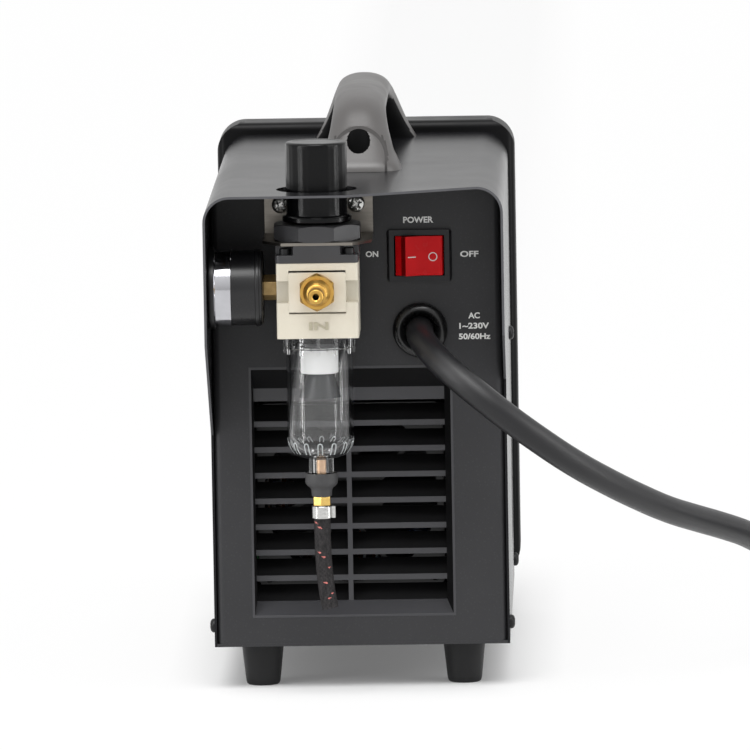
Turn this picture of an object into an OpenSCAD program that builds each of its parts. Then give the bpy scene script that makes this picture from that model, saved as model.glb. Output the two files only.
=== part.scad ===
// Compact inverter plasma cutter: folded sheet case with a hood over the rear air fittings.
// X to the right seen from the rear, +Y towards the front panel, +Z up. Millimetres.
// The sub-parts are drawn from the rear panel's outer face at y = 0, and placed() then moves
// them to the object's own origin, under the middle of its box at the height of its feet.

/* [Case] */
// Outside width of the folded cover
case_w = 146; // [140:1:170]
// Height of the folded cover, from its lower edge to its top
case_h = 230; // [224:1:260]
// Length of the cover from the rear panel to the front bezel
case_l = 255; // [245:1:300]
// Radius of the cover's upper folds
corner_r = 13; // [8:0.5:18]
// Sheet thickness of the cover
sheet = 1.2; // [0.8:0.1:1.6]
// Sheet thickness of the base plate and the rear panel
panel_t = 1.5; // [1:0.1:2]
// Outside radius of the rear panel's side folds
fold_r = 4; // [2.5:0.5:6]
// Depth of the flanges folded forwards round the rear panel
flange_l = 16; // [14:1:24]

/* [Hood] */
// Overhang of the hood behind the rear panel, over the regulator
hood_l = 65; // [60:1:75]
// Overhang of the hood behind the rear panel, over the power switch
hood_short_l = 32; // [24:1:40]
// Where the hood's slanted edge starts, from the middle of the case
slant_x0 = -3; // [-6:1:4]
// Where the hood's slanted edge ends, from the middle of the case
slant_x1 = 59.5; // [50:0.5:60]
// Height of the hood's cheeks down to where their edge slants back to the panel
cheek_h = 73.5; // [70:0.5:80]
// Height of the slanted part of the longer cheek
cheek_slant_h = 51; // [40:1:60]
// Clearance round the pressure knob in the hood
knob_clear = 4.8; // [3:0.2:6]

/* [Side vents] */
// Number of vent slots in each side
vent_n = 7; // [4:1:8]
// Width of a vent slot
vent_w = 4; // [3:0.5:5]
// Height of a vent slot
vent_h = 62; // [40:1:80]
// Spacing of the vent slots
vent_pitch = 9; // [8:0.5:9.5]

/* [Feet] */
// Height of a foot
foot_h = 21.5; // [15:0.5:30]
// Diameter of a foot at the base plate
foot_top_d = 21.7; // [18:0.1:26]
// Diameter of a foot at the floor
foot_low_d = 16.9; // [14:0.1:18]
// Distance of the feet from the case's sides
foot_in = 23; // [18:1:30]
// Distance of the rear feet from the rear panel, and of the front feet from the bezel
foot_y = 22; // [18:1:30]
// Diameter of the screw pocket under a foot
foot_pocket_d = 9; // [8:0.5:10]

/* [Front bezel] */
// How far the bezel stands proud of the cover's sides
bezel_side = 3.4; // [2:0.2:5]
// How far the bezel stands proud of the cover's top
bezel_top = 6; // [4:0.5:8]
// Depth of the bezel
bezel_l = 28; // [22:1:34]
// Width of the bezel's frame
bezel_rim = 13; // [11:0.5:15]
// Radius of the bezel's corners
bezel_corner_r = 15; // [12:0.5:20]
// Rounding of the bezel's long edges
bezel_edge_r = 4; // [2:0.5:6]
// Depth of the front panel behind the bezel's face
front_recess = 8; // [5:0.5:12]

/* [Handle] */
// Height of the grip's top over the cover
handle_h = 37; // [34:1:50]
// Sideways offset of the handle from the middle of the case
handle_x = 0.8; // [-3:0.1:3]
// Distance of the handle's rear edge from the rear panel
handle_y0 = 51; // [46:1:60]
// Distance of the handle's front edge from the bezel
handle_gap = 4; // [2:1:12]
// Width of the grip
grip_w = 26; // [22:0.5:30]
// Thickness of the grip
grip_t = 17; // [14:0.5:19]
// Width of the handle at its rear foot
handle_rear_w = 42; // [38:0.5:46]
// Width of the handle at its front foot
handle_front_w = 51; // [44:0.5:54]
// Diameter of the screw pockets in the handle
handle_pocket_d = 11.5; // [9.5:0.5:12]

/* [Rear grille] */
// Width of the grille's mouth
grille_w = 100.5; // [90:0.5:108]
// Height of the grille's mouth
grille_h = 124.7; // [118:0.1:128]
// Height of the grille's mouth over the cover's lower edge
grille_z0 = 14.2; // [12:0.1:18]
// Offset of the grille from the middle of the case
grille_x = -3.75; // [-6:0.25:0]
// Depth of the grille's funnel
grille_recess = 8; // [6:0.5:10]
// Number of rows of slots
grille_rows = 8; // [6:1:8]
// Spacing of the rows
grille_pitch = 12.8; // [12:0.1:13]
// Height of a slot
slot_h = 10; // [8:0.1:10.5]
// Height of the funnel's upper slope
slope_top_h = 11.4; // [8:0.2:12]
// Height of the funnel's lower slope
slope_low_h = 7.3; // [5:0.1:8]
// Width of the grille's right margin
grille_margin_r = 4.3; // [2:0.1:5]
// Width of the grille's left margin
grille_margin_l = 2; // [1.5:0.1:5]
// Width of the rib between the slot columns
grille_rib = 2.4; // [2:0.1:4]
// Part of the slots' width to the left of that rib
grille_split = 0.495; // [0.3:0.005:0.7]
// Thickness of a louvre blade
louvre_t = 1.4; // [1:0.1:1.8]
// Depth of a louvre blade behind the slots
louvre_l = 7; // [5:0.5:8]

/* [Fan] */
// Outside width of the square fan frame
fan_w = 92; // [80:1:96]
// Depth of the fan
fan_l = 25; // [20:1:30]
// Clearance between blade tips and frame
fan_tip_gap = 1.2; // [0.8:0.1:2]
// Number of fan blades
fan_blades = 7; // [5:1:9]
// Diameter of the fan's hub
fan_hub_d = 34; // [30:1:38]
// Diameter of the fan's axle
fan_axle_d = 3; // [2.5:0.5:4]

/* [Regulator] */
// Distance of the regulator's axis from the rear panel
reg_y = 31; // [28:0.5:33]
// Depth of the regulator body's top under the cover's top
reg_drop = 34.5; // [32:0.5:38]
// Width and depth of the square regulator body
reg_w = 40; // [38:0.5:42]
// Height of the regulator body
reg_h = 37; // [35:0.5:40]
// Depth of the side ports' axis under the body's top
port_drop = 13.6; // [12:0.2:16]
// Height of the bonnet's square foot
bonnet_h = 8.5; // [7:0.5:11]
// Diameter of the bonnet's neck
neck_d = 26; // [22:0.5:27]
// Sheet thickness of the bracket
bracket_t = 1.5; // [1:0.1:2]
// Width of the bracket
bracket_w = 53.4; // [50:0.2:58]
// Height of the bracket's upright over its shelf
bracket_h = 20; // [17:0.5:21]
// Width of the ring nut across its flats
ring_nut_w = 42; // [36:0.5:43]
// Height of the ring nut
ring_nut_h = 8; // [6:0.5:9]
// Diameter of the pressure knob
knob_d = 30; // [27:0.5:31]
// Height of the pressure knob with its skirt
knob_h = 39; // [36:0.5:42]
// Diameter of the knob's skirt
knob_skirt_d = 34; // [30:0.5:35]
// Diameter of the adjusting spindle
spindle_d = 8; // [6:0.5:10]
// Travel of the pressure knob from locked to free
knob_lift = 3; // [2:0.5:4]

/* [Filter bowl] */
// Outside diameter of the bowl
bowl_d = 32.8; // [30:0.1:36]
// Wall of the bowl
bowl_wall = 2; // [1.5:0.1:2.6]
// Length of the bowl from the regulator body to its rounded end
bowl_l = 60.6; // [54:0.2:66]
// Rounding of the bowl's lower edge
bowl_round_r = 9; // [6:0.5:11]
// Outside diameter of the bowl's drain neck
bowl_neck_d = 12; // [11:0.1:14]
// Length of the drain neck
bowl_neck_l = 9.4; // [9:0.1:12]
// Diameter of the filter element
filter_d = 18.5; // [16:0.5:20]
// Length of the filter element
filter_l = 13; // [10:0.5:16]
// Travel of the drain valve
drain_lift = 2.5; // [1.5:0.1:2.5]
// Diameter of the drain cup
drain_cup_d = 16; // [15.5:0.1:18]
// Diameter of the drain hose
hose_d = 8.4; // [7.5:0.1:9.5]
// Bore of the drain hose
hose_bore_d = 5; // [4:0.1:5.5]

/* [Air fittings] */
// Width of the inlet nipple's hexagon across its flats
nipple_hex_w = 16.5; // [14:0.5:19]
// Diameter of the inlet nipple's nose
nipple_d = 8; // [7:0.1:9]
// Bore of the inlet nipple
nipple_bore_d = 3.2; // [2.5:0.1:4]
// Length of the inlet nipple in front of the regulator body
nipple_l = 27; // [22:0.5:32]
// Diameter of the threaded ports in the regulator body
port_d = 11; // [9:0.5:12]

/* [Gauge] */
// Diameter of the gauge's rim
gauge_d = 40.8; // [38:0.2:44]
// Depth of the gauge's case
gauge_l = 27; // [24:0.5:28]
// Diameter of the drum behind the gauge's rim
gauge_drum_d = 33; // [30:0.5:36]
// Length of the gauge's port between its case and the regulator body
gauge_port_l = 6.8; // [5:0.2:12]
// Length of the gauge's pointer from its axis
needle_l = 14; // [10:0.5:15]

/* [Power switch] */
// Width of the switch's bezel
switch_w = 32; // [30:0.5:34]
// Height of the switch's bezel
switch_h = 25.5; // [24:0.5:27]
// Offset of the switch from the middle of the case
switch_x = 31.2; // [28:0.2:34]
// Depth of the switch's middle under the cover's top
switch_drop = 36.6; // [34:0.2:40]
// Width of the rocker
rocker_w = 24.2; // [22:0.2:26]
// Height of the rocker
rocker_h = 19.5; // [18:0.5:20]
// Full swing of the rocker in degrees
rocker_swing = 18; // [12:1:20]
// Clearance round the rocker
rocker_gap = 0.3; // [0.2:0.05:0.5]

/* [Mains cord] */
// Diameter of the mains cord
cord_d = 13.5; // [12:0.1:14]
// Offset of the cord bushing from the middle of the case
bushing_x = 31; // [28:0.5:34]
// Depth of the cord bushing's axis under the cover's top
bushing_drop = 73.5; // [70:0.5:76]
// Diameter of the cord bushing's collar
bushing_d = 27; // [24:0.5:30]
// How far the cord bushing stands out of the rear panel
bushing_l = 5; // [4:0.5:8]
// Diameter of the mains plug
plug_d = 44; // [40:1:46]
// Length of the mains plug's body
plug_l = 46; // [40:1:52]

/* [Front controls] */
// Diameter of the current knob
dial_d = 34; // [28:1:40]
// Width of the display window
display_w = 58; // [44:1:70]
// Height of the display window
display_h = 26; // [20:1:34]
// Diameter of the torch connector
torch_d = 36; // [30:1:42]
// How far the torch connector stands out past the bezel
torch_out = 22; // [16:1:26]
// Diameter of the work clamp socket's flange
socket_d = 34; // [28:1:38]
// Bore of the work clamp socket
socket_bore_d = 13; // [10:0.5:15]
// Height of the connectors over the cover's lower edge
socket_z = 48; // [40:1:60]
// Sideways distance of the connectors from the middle
socket_x = 33; // [30:1:38]

/* [Hidden] */
$fn = 48;
slip = 0.05; // radial clearance of a running fit

case_top = foot_h + case_h;
half_w = case_w / 2;
wall_x = half_w - sheet;
floor_z = foot_h + panel_t;
front_y = case_l + bezel_l;
front_face_y = front_y - front_recess;
front_panel_t = 2;
front_back_y = front_face_y - front_panel_t;
torch_y = front_y + torch_out;
body_face_y = -reg_y - reg_w / 2;
plate_t = 1; // raised plate on the regulator body's face
nipple_y = body_face_y - plate_t - nipple_l;
panel_y = -(nipple_y + torch_y) / 2;
knob_gap = 1; // between the ring nut and the knob's skirt

// Stack of the regulator, upwards from its body
body_top = case_top - reg_drop;
body_low = body_top - reg_h;
port_z = body_top - port_drop;
shelf_z = body_top + bonnet_h;
nut_z = shelf_z + bracket_t;
neck_top = nut_z + ring_nut_h;
knob_z = neck_top + knob_gap;
knob_top = knob_z + knob_h;
knob_wall = 2.5;
knob_skirt_h = 3.6;
knob_hub_h = 14; // solid end of the knob, over its hollow
knob_hub_in = 8; // depth of the spindle in that end
knob_dome_h = 1.2;
knob_grooves = 30;

// Stack of the bowl and its drain, downwards from the body
bowl_low = body_low - bowl_l;
bowl_neck_z = bowl_low - bowl_neck_l;
cup_wall_z = 2.5; // floor of the drain cup
cup_gap = 0.4; // left under the neck at full travel
cup_floor_z = bowl_neck_z - drain_lift - cup_gap;
cup_low = cup_floor_z - cup_wall_z;
cup_rim = 4.2; // how far the cup stands up round the neck
cup_taper = 4.6;
drain_hex_z = cup_low - cup_taper;
drain_hex_h = 4.5;
hose_z = drain_hex_z - drain_hex_h;
filter_top = body_low - 5.8; // of the filter element
clamp_h = 6;
clamp_t = 0.8;
stem_d = 5;
barb_l = 8;

// Grille
grille_low = foot_h + grille_z0;
grille_left = grille_x - grille_w / 2;
grille_right = grille_x + grille_w / 2;
slots_left = grille_left + grille_margin_l;
slots_right = grille_right - grille_margin_r;
slots_low = grille_low + slope_low_h;
grille_plate_t = 2.5;
grille_lip = 3; // flange of the grille behind the rear panel
grille_back = grille_recess + grille_plate_t + louvre_l;
rib_x = slots_left + (slots_right - slots_left) * grille_split;
fan_x = (slots_left + slots_right) / 2;
fan_z = slots_low + grille_rows * grille_pitch / 2;
fan_y = grille_back;
fan_screw_in = 5; // of a fan screw from the frame's edge

// Gauge, seated in the cover's side; the regulator's place follows from it
gauge_x = -wall_x; // outer face of the rim, at the cover's inside
reg_x = gauge_x + gauge_l + gauge_port_l + reg_w / 2;
gauge_rim_h = 6;
gauge_wall = 1.6;
gauge_back_x = gauge_x + gauge_l;
dial_x = gauge_x + 4;
lens_t = 1.2;
window_d = gauge_d - 2.8;

// Switch
switch_z = case_top - switch_drop;
switch_rim = 2.2;
pivot_y = 1.5;
rocker_r = rocker_w / 2;
rocker_out = 6.5;
rocker_mid = 4.6;
pivot_pin_d = 3;
switch_body_l = 20;
switch_body_w = 29.6;
switch_body_h = 22.4;

// Feet and screws
foot_x = half_w - foot_in;
foot_front_y = case_l - foot_y;
screw_d = 4;
screw_head_d = 7;
screw_head_h = 2.5;
screw_y = 10;
screw_z = foot_h + 9.5;
brace_y = 170;
brace_z = case_top - 103.2;
brace_h = 14;
brace_w = 24;
brace_screw_z = brace_z + panel_t + brace_h / 2;
bracket_screw_x = bracket_w / 2 - 8;
bracket_screw_z = shelf_z + 15.6;

// Inside
board_z = floor_z + 12;
board_t = 1.6;
board_y0 = 60;
board_l = case_l - board_y0 - 5;
core_y = board_y0 + board_l - 42; // middle of the transformer
valve_l = 44;
valve_y = 20;
tube_d = 8;

// Front
dial_z = foot_h + 128;
display_z = foot_h + 196;
lamp_z = foot_h + 168;
button_x = 38;
button_d = 9;
button_travel = 1.2;
dial_l = 18;
shaft_d = 6;
connector_z = foot_h + socket_z;

// Cord
bushing_z = case_top - bushing_drop;
strap_t = 1.2;
strap_w = 14;
cord_r = cord_d / 2;
coil_x = 330;
coil_y = 200;
coil_r = 74; // middle of the turns
coil_turns = 3.5;
coil_start = 160; // angle at which the cord comes to the coil
coil_step = 14.4; // spacing of the turns
coil_z = strap_t + 0.1 + cord_r;
coil_layer = 14.1; // height of the upper layer over the lower
coil_rings = 24;
cord_sides = 10;
coil_sides = 6;

// Route of the cord from the bushing to the coil
cord_route = [
    [31, 0, 178], [31, -13.5, 178], [32, -27.5, 177], [36, -42, 173], [44.5, -55.5, 165.5],
    [57.5, -65, 155.3], [73, -68.5, 143], [89.5, -65, 130.2], [105.5, -54.5, 117.9], [121.5, -38, 106.5],
    [137, -18, 96], [152, 4, 86.5], [166, 27, 79], [179.5, 49.5, 72], [192, 72, 64.5],
    [203, 95, 55], [213.5, 119, 43.5], [222.5, 142, 31.5], [229.5, 163, 20.5], [235, 185, 12]
];

// Route of the drain hose, from the regulator's axis and from its own upper end
hose_route = [
    [0, 0, 0], [0, 0, -9], [0.1, 0, -18], [0.4, 0, -27], [1, 0, -35.5], [1.9, 0, -43.3], [3.2, 0, -50.8]
];

// Side view of the handle: its outer edge, its inner edge, and the width and squareness there
handle_y1 = case_l - handle_gap;
grip_low = handle_h - grip_t;
rear_flare = handle_rear_w - grip_w;
front_flare = handle_front_w - grip_w;
handle_path = [
    [handle_y0, 0, handle_y0 + 38, 0, handle_rear_w, 4],
    [handle_y0 + 1.2, 3.2, handle_y0 + 38.4, 5, grip_w + rear_flare * 0.76, 4],
    [handle_y0 + 4.6, 6.8, handle_y0 + 39.6, 9.5, grip_w + rear_flare * 0.52, 3.6],
    [handle_y0 + 10.5, 12.8, handle_y0 + 42, 13.5, grip_w + rear_flare * 0.36, 3.2],
    [handle_y0 + 18.5, 21.2, handle_y0 + 46, grip_low - 3.4, grip_w + rear_flare * 0.18, 2.8],
    [handle_y0 + 29, handle_h - 6.6, handle_y0 + 51.5, grip_low - 1.4, grip_w + rear_flare * 0.05, 2.4],
    [handle_y0 + 44, handle_h - 1.7, handle_y0 + 58, grip_low - 0.4, grip_w, 2.2],
    [handle_y0 + 66, handle_h - 0.3, handle_y0 + 67, grip_low, grip_w, 2.1],
    [(handle_y0 + handle_y1) / 2, handle_h, (handle_y0 + handle_y1) / 2, grip_low, grip_w, 2.1],
    [handle_y1 - 57, handle_h - 0.3, handle_y1 - 58, grip_low, grip_w, 2.1],
    [handle_y1 - 38, handle_h - 2.5, handle_y1 - 48, grip_low - 1, grip_w + front_flare * 0.05, 2.3],
    [handle_y1 - 24, handle_h - 8.6, handle_y1 - 40, grip_low - 4.2, grip_w + front_flare * 0.2, 2.7],
    [handle_y1 - 13, 19, handle_y1 - 34, 10.5, grip_w + front_flare * 0.42, 3.2],
    [handle_y1 - 4.6, 9, handle_y1 - 28.5, 5, grip_w + front_flare * 0.68, 3.6],
    [handle_y1, 0, handle_y1 - 25, 0, handle_front_w, 4]
];
section_sides = 24;
ring_steps = 2; // rings per stretch of the handle's path

// ---- Helpers -------------------------------------------------------------------------------

// From the rear panel's face to the object's own origin
module placed() {
    translate([0, panel_y, 0]) children();
}

// Outline drawn in X and Z, extruded from y0 to y1
module extrude_y(y0, y1) {
    translate([0, y1, 0]) rotate([90, 0, 0]) linear_extrude(y1 - y0) children();
}

// Outline drawn in Y and Z, extruded from x0 to x1
module extrude_x(x0, x1) {
    translate([x0, 0, 0]) rotate([90, 0, 90]) linear_extrude(x1 - x0) children();
}

// Outline drawn in X and Y, extruded from z0 to z1
module extrude_z(z0, z1) {
    translate([0, 0, z0]) linear_extrude(z1 - z0) children();
}

// Round bar along +Y from y0 to y1
module bar_y(x, z, d, y0, y1) {
    translate([x, y0, z]) rotate([-90, 0, 0]) cylinder(d = d, h = y1 - y0);
}

// Round bar along +X from x0 to x1
module bar_x(y, z, d, x0, x1) {
    translate([x0, y, z]) rotate([0, 90, 0]) cylinder(d = d, h = x1 - x0);
}

// Round bar along +Z from z0 to z1
module bar_z(x, y, d, z0, z1) {
    translate([x, y, z0]) cylinder(d = d, h = z1 - z0);
}

// Hexagon across flats w along +Y
module hex_y(x, z, w, y0, y1) {
    translate([x, y0, z]) rotate([-90, 0, 0]) cylinder(d = w / cos(30), h = y1 - y0, $fn = 6);
}

// Rectangle with its corners rounded, about its middle
module round_rect(w, h, r) {
    square([w - 2 * r, h], center = true);
    square([w, h - 2 * r], center = true);
    for (sx = [-1, 1], sy = [-1, 1]) {
        translate([sx * (w / 2 - r), sy * (h / 2 - r)]) circle(r = r);
    }
}

// Upright slot with round ends, about its middle
module slot_2d(w, h) {
    square([w, h - w], center = true);
    for (s = [-1, 1]) {
        translate([0, s * (h - w) / 2]) circle(d = w);
    }
}

// Pan head screw pointing along -axis from the origin: shank, head and cross recess
module pan_screw(d, head_d, head_h, l) {
    difference() {
        union() {
            translate([0, 0, -l]) cylinder(d = d, h = l);
            cylinder(d = head_d, h = head_h * 0.5);
            translate([0, 0, head_h * 0.5]) cylinder(d1 = head_d, d2 = head_d * 0.66, h = head_h * 0.5);
        }
        for (a = [0, 90]) {
            rotate(a) translate([-head_d * 0.25, -head_d * 0.06, head_h * 0.45])
                cube([head_d * 0.5, head_d * 0.12, head_h]);
        }
    }
}

// ---- Sweeps --------------------------------------------------------------------------------

function unit(v) = v / norm(v);

// Direction of a path at point i
function along(p, i) = unit(p[min(i + 1, len(p) - 1)] - p[max(i - 1, 0)]);

// Ring of n points of radius r round point c, square to direction t
function ring(c, t, r, n, ref) =
    let (u = unit(cross(t, ref)), v = cross(u, t))
    [for (k = [0:n - 1]) c + r * (cos(360 * k / n) * u + sin(360 * k / n) * v)];

// Triangles that join m rings of n points and close both ends
function skin_faces(m, n) = concat(
    [for (i = [0:m - 2], k = [0:n - 1]) [i * n + k, (i + 1) * n + k, i * n + (k + 1) % n]],
    [for (i = [0:m - 2], k = [0:n - 1]) [i * n + (k + 1) % n, (i + 1) * n + k, (i + 1) * n + (k + 1) % n]],
    [for (k = [1:n - 2]) [0, k, k + 1]],
    [for (k = [1:n - 2]) [(m - 1) * n, (m - 1) * n + k + 1, (m - 1) * n + k]]
);

// Round tube of radius r along a path
module sweep(path, r, n, ref = [0, 0, 1]) {
    points = [for (i = [0:len(path) - 1]) each ring(path[i], along(path, i), r, n, ref)];
    polyhedron(points = points, faces = skin_faces(len(path), n), convexity = 6);
}

// Pipe along a path: outer skin, bore and a flat ring at each end
module sweep_pipe(path, r, bore_r, n, ref) {
    m = len(path);
    outer = [for (i = [0:m - 1]) each ring(path[i], along(path, i), r, n, ref)];
    inner = [for (i = [0:m - 1]) each ring(path[i], along(path, i), bore_r, n, ref)];
    o = m * n;
    sides = [
        for (i = [0:m - 2], k = [0:n - 1])
            let (a = i * n + k, b = i * n + (k + 1) % n, c = a + n, d = b + n)
            each [[a, c, b], [b, c, d], [o + a, o + b, o + c], [o + b, o + d, o + c]]
    ];
    ends = [
        for (k = [0:n - 1])
            let (a = k, b = (k + 1) % n, c = (m - 1) * n + a, d = (m - 1) * n + b)
            each [[a, b, o + a], [b, o + b, o + a], [c, o + c, d], [d, o + c, o + d]]
    ];
    polyhedron(points = concat(outer, inner), faces = concat(sides, ends), convexity = 6);
}

// Value at t between the second and third of four numbers or vectors
function blend4(a, b, c, d, t) =
    0.5 * (2 * b + (c - a) * t + (2 * a - 5 * b + 4 * c - d) * t * t + (3 * b - a - 3 * c + d) * t * t * t);

// Smooth path through points p, with steps parts between each two
function smooth(p, steps) = [
    for (i = [0:len(p) - 2], s = [0:steps - 1])
        blend4(p[max(i - 1, 0)], p[i], p[i + 1], p[min(i + 2, len(p) - 1)], s / steps),
    p[len(p) - 1]
];

// ---- Case ----------------------------------------------------------------------------------

// Outline of the case, drawn in by inset, down to the given height
module case_outline(inset, low) {
    r = corner_r - inset;
    half = half_w - inset;
    top = case_top - inset;
    translate([-half, low]) square([2 * half, top - r - low]);
    translate([-half + r, low]) square([2 * (half - r), top - low]);
    for (s = [-1, 1]) {
        translate([s * (half - r), top - r]) circle(r = r);
    }
}

// Side screws, given as side, place and height
screw_places = [
    for (s = [-1, 1]) each [
        [s, screw_y, screw_z],
        [s, brace_y, brace_screw_z],
        [s, case_l - screw_y, screw_z]
    ]
];

// Plan of the hood's rear edge: what lies behind it is cut away
module hood_cut() {
    far = hood_l + 10;
    extrude_z(0, case_top + 10) polygon([
        [slant_x0, -hood_l], [slant_x1, -hood_short_l], [half_w + 5, -hood_short_l],
        [half_w + 5, -far], [slant_x0, -far]
    ]);
}

// Side view of what is cut away under a cheek that overhangs by reach
module cheek_cut(reach) {
    z1 = case_top - cheek_h;
    z2 = z1 - cheek_slant_h * reach / hood_l;
    polygon([[-hood_l - 5, z1], [-reach, z1], [0, z2], [0, 0], [-hood_l - 5, 0]]);
}

module side_vents() {
    y0 = case_l - 15 - vent_w / 2 - (vent_n - 1) * vent_pitch;
    z0 = foot_h + 26 + vent_h / 2;
    for (i = [0:vent_n - 1]) {
        extrude_x(-half_w - 5, half_w + 5) translate([y0 + i * vent_pitch, z0]) slot_2d(vent_w, vent_h);
    }
}

module cover() placed() color("#38383a") difference() {
    extrude_y(-hood_l, case_l) case_outline(0, foot_h);
    extrude_y(-hood_l - 1, case_l + 1) case_outline(sheet, foot_h - 1);
    hood_cut();
    extrude_x(-half_w - 5, 0) cheek_cut(hood_l);
    extrude_x(0, half_w + 5) cheek_cut(hood_short_l);
    bar_z(reg_x, -reg_y, knob_d + 2 * knob_clear, case_top - corner_r, case_top + 1);
    bar_x(-reg_y, port_z, window_d, -half_w - 1, -half_w + corner_r);
    for (s = screw_places) {
        bar_x(s[1], s[2], screw_d + 0.4, s[0] * half_w - 3, s[0] * half_w + 3);
    }
    for (y = handle_screw_ys) {
        bar_z(handle_x, y, screw_d + 0.4, case_top - 5, case_top + 1);
    }
    side_vents();
}

// Outline of the rear panel and its flanges, drawn in by inset
module panel_block(inset) {
    half = wall_x - inset;
    r = fold_r - inset;
    intersection() {
        extrude_y(inset, flange_l + inset) case_outline(sheet + inset, floor_z - (inset > 0 ? 1 : 0));
        extrude_z(0, case_top) {
            translate([-half, r]) square([2 * half, flange_l + 10]);
            translate([-half + r, 0]) square([2 * (half - r), flange_l + 10]);
            for (s = [-1, 1]) {
                translate([s * (half - r), fold_r]) circle(r = r);
            }
        }
    }
}

module rear_panel() placed() color("#343436") difference() {
    panel_block(0);
    panel_block(panel_t);
    extrude_y(-1, 5) translate([grille_left, grille_low]) square([grille_w, grille_h]);
    extrude_y(-1, 5) translate([switch_x, switch_z])
        square([switch_body_w + 0.4, switch_body_h + 0.4], center = true);
    bar_y(bushing_x, bushing_z, bushing_d - 6, -1, 5);
    bar_y(reg_x, port_z, port_d + 2, -1, 5);
    for (s = [-1, 1]) {
        bar_y(reg_x + s * bracket_screw_x, bracket_screw_z, screw_d, -1, 5);
        bar_x(screw_y, screw_z, screw_d, s * wall_x - 3, s * wall_x + 3);
    }
}

module base_plate() placed() color("#4a4b4d") difference() {
    union() {
        extrude_z(foot_h, floor_z) translate([-wall_x, 0]) square([2 * wall_x, case_l]);
        for (s = [-1, 1]) {
            extrude_z(foot_h, foot_h + 20) translate([s * (wall_x - panel_t / 2), (flange_l + 2 + case_l) / 2])
                square([panel_t, case_l - flange_l - 2], center = true);
        }
    }
    for (sx = [-1, 1], y = [foot_y, foot_front_y]) {
        bar_z(sx * foot_x, y, screw_d, foot_h - 1, floor_z + 1);
    }
    for (s = [-1, 1]) {
        bar_x(case_l - screw_y, screw_z, screw_d, s * wall_x - 3, s * wall_x + 3);
    }
    // Air slots under the power board
    for (i = [0:5], s = [-1, 1]) {
        extrude_z(foot_h - 1, floor_z + 1) translate([s * 24, 80 + i * 18]) rotate(90) slot_2d(5, 30);
    }
}

// Sheet bridge between the cover's sides that the side screws hold
module cross_brace() placed() color("#8f9194") difference() {
    union() {
        extrude_z(brace_z, brace_z + panel_t) translate([-wall_x, brace_y - brace_w / 2])
            square([2 * wall_x, brace_w]);
        for (s = [-1, 1]) {
            extrude_x(s * (wall_x - panel_t / 2) - panel_t / 2, s * (wall_x - panel_t / 2) + panel_t / 2)
                translate([brace_y - brace_w / 2, brace_z]) square([brace_w, panel_t + brace_h]);
        }
    }
    for (s = [-1, 1]) {
        bar_x(brace_y, brace_screw_z, screw_d, s * wall_x - 3, s * wall_x + 3);
    }
    for (x = [-40, 40]) {
        extrude_z(brace_z - 1, brace_z + 5) translate([x, brace_y]) rotate(90) slot_2d(8, 36);
    }
}

module cover_screws() placed() color("#202021") {
    for (s = screw_places) {
        translate([s[0] * half_w, s[1], s[2]]) rotate([0, s[0] * 90, 0])
            pan_screw(screw_d - 0.2, screw_head_d, screw_head_h, sheet + panel_t + 3);
    }
}

// Moulded foot with a pocket for its screw
module foot(sx, y) {
    placed() color("#1d1d1e") translate([sx * foot_x, y, 0]) difference() {
        union() {
            translate([0, 0, 1.5]) cylinder(d1 = foot_low_d, d2 = foot_top_d, h = foot_h - 1.5);
            cylinder(d1 = foot_low_d - 2.4, d2 = foot_low_d, h = 1.5);
        }
        translate([0, 0, -1]) cylinder(d = foot_pocket_d, h = foot_h - 5);
        cylinder(d = screw_d, h = foot_h + 1);
    }
}

module foot_rear_left() foot(-1, foot_y);
module foot_rear_right() foot(1, foot_y);
module foot_front_left() foot(-1, foot_front_y);
module foot_front_right() foot(1, foot_front_y);

// ---- Handle --------------------------------------------------------------------------------

handle_rings = smooth(handle_path, ring_steps);

// Screws of the handle go straight down through its two feet
handle_screw_ys = [handle_y0 + 10, handle_y1 - 11];
handle_screw_low = 4.5; // bottom of the screw pockets over the cover

// Point of a unit superellipse of power p at angle a
function super_cos(a, p) = sign(cos(a)) * pow(abs(cos(a)), 2 / p);
function super_sin(a, p) = sign(sin(a)) * pow(abs(sin(a)), 2 / p);

// Section of the handle at ring i, between its outer and its inner edge
function handle_section(i) =
    let (s = handle_rings[i], middle = [s[0] + s[2], s[1] + s[3]] / 2, half = [s[0] - s[2], s[1] - s[3]] / 2)
    [for (k = [0:section_sides - 1])
        let (a = 360 * k / section_sides, edge = middle + super_sin(a, s[5]) * half)
        [s[4] / 2 * super_cos(a, s[5]), edge[0], case_top + edge[1]]];

module handle_loft() {
    m = len(handle_rings);
    polyhedron(
        points = [for (i = [0:m - 1]) each handle_section(i)],
        faces = skin_faces(m, section_sides),
        convexity = 6
    );
}

module handle() placed() color("#57585b") translate([handle_x, 0, 0]) difference() {
    handle_loft();
    for (y = handle_screw_ys) {
        bar_z(0, y, handle_pocket_d, case_top + handle_screw_low, case_top + handle_h + 5);
        bar_z(0, y, screw_d + 0.4, case_top - 1, case_top + handle_screw_low + 1);
    }
}

module handle_screws() placed() color("#b9bbbe") {
    for (y = handle_screw_ys) {
        translate([handle_x, y, case_top + handle_screw_low])
            pan_screw(screw_d, handle_pocket_d - 2.6, 3.2, handle_screw_low + sheet + 5);
    }
}

// ---- Rear grille ---------------------------------------------------------------------------

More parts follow.
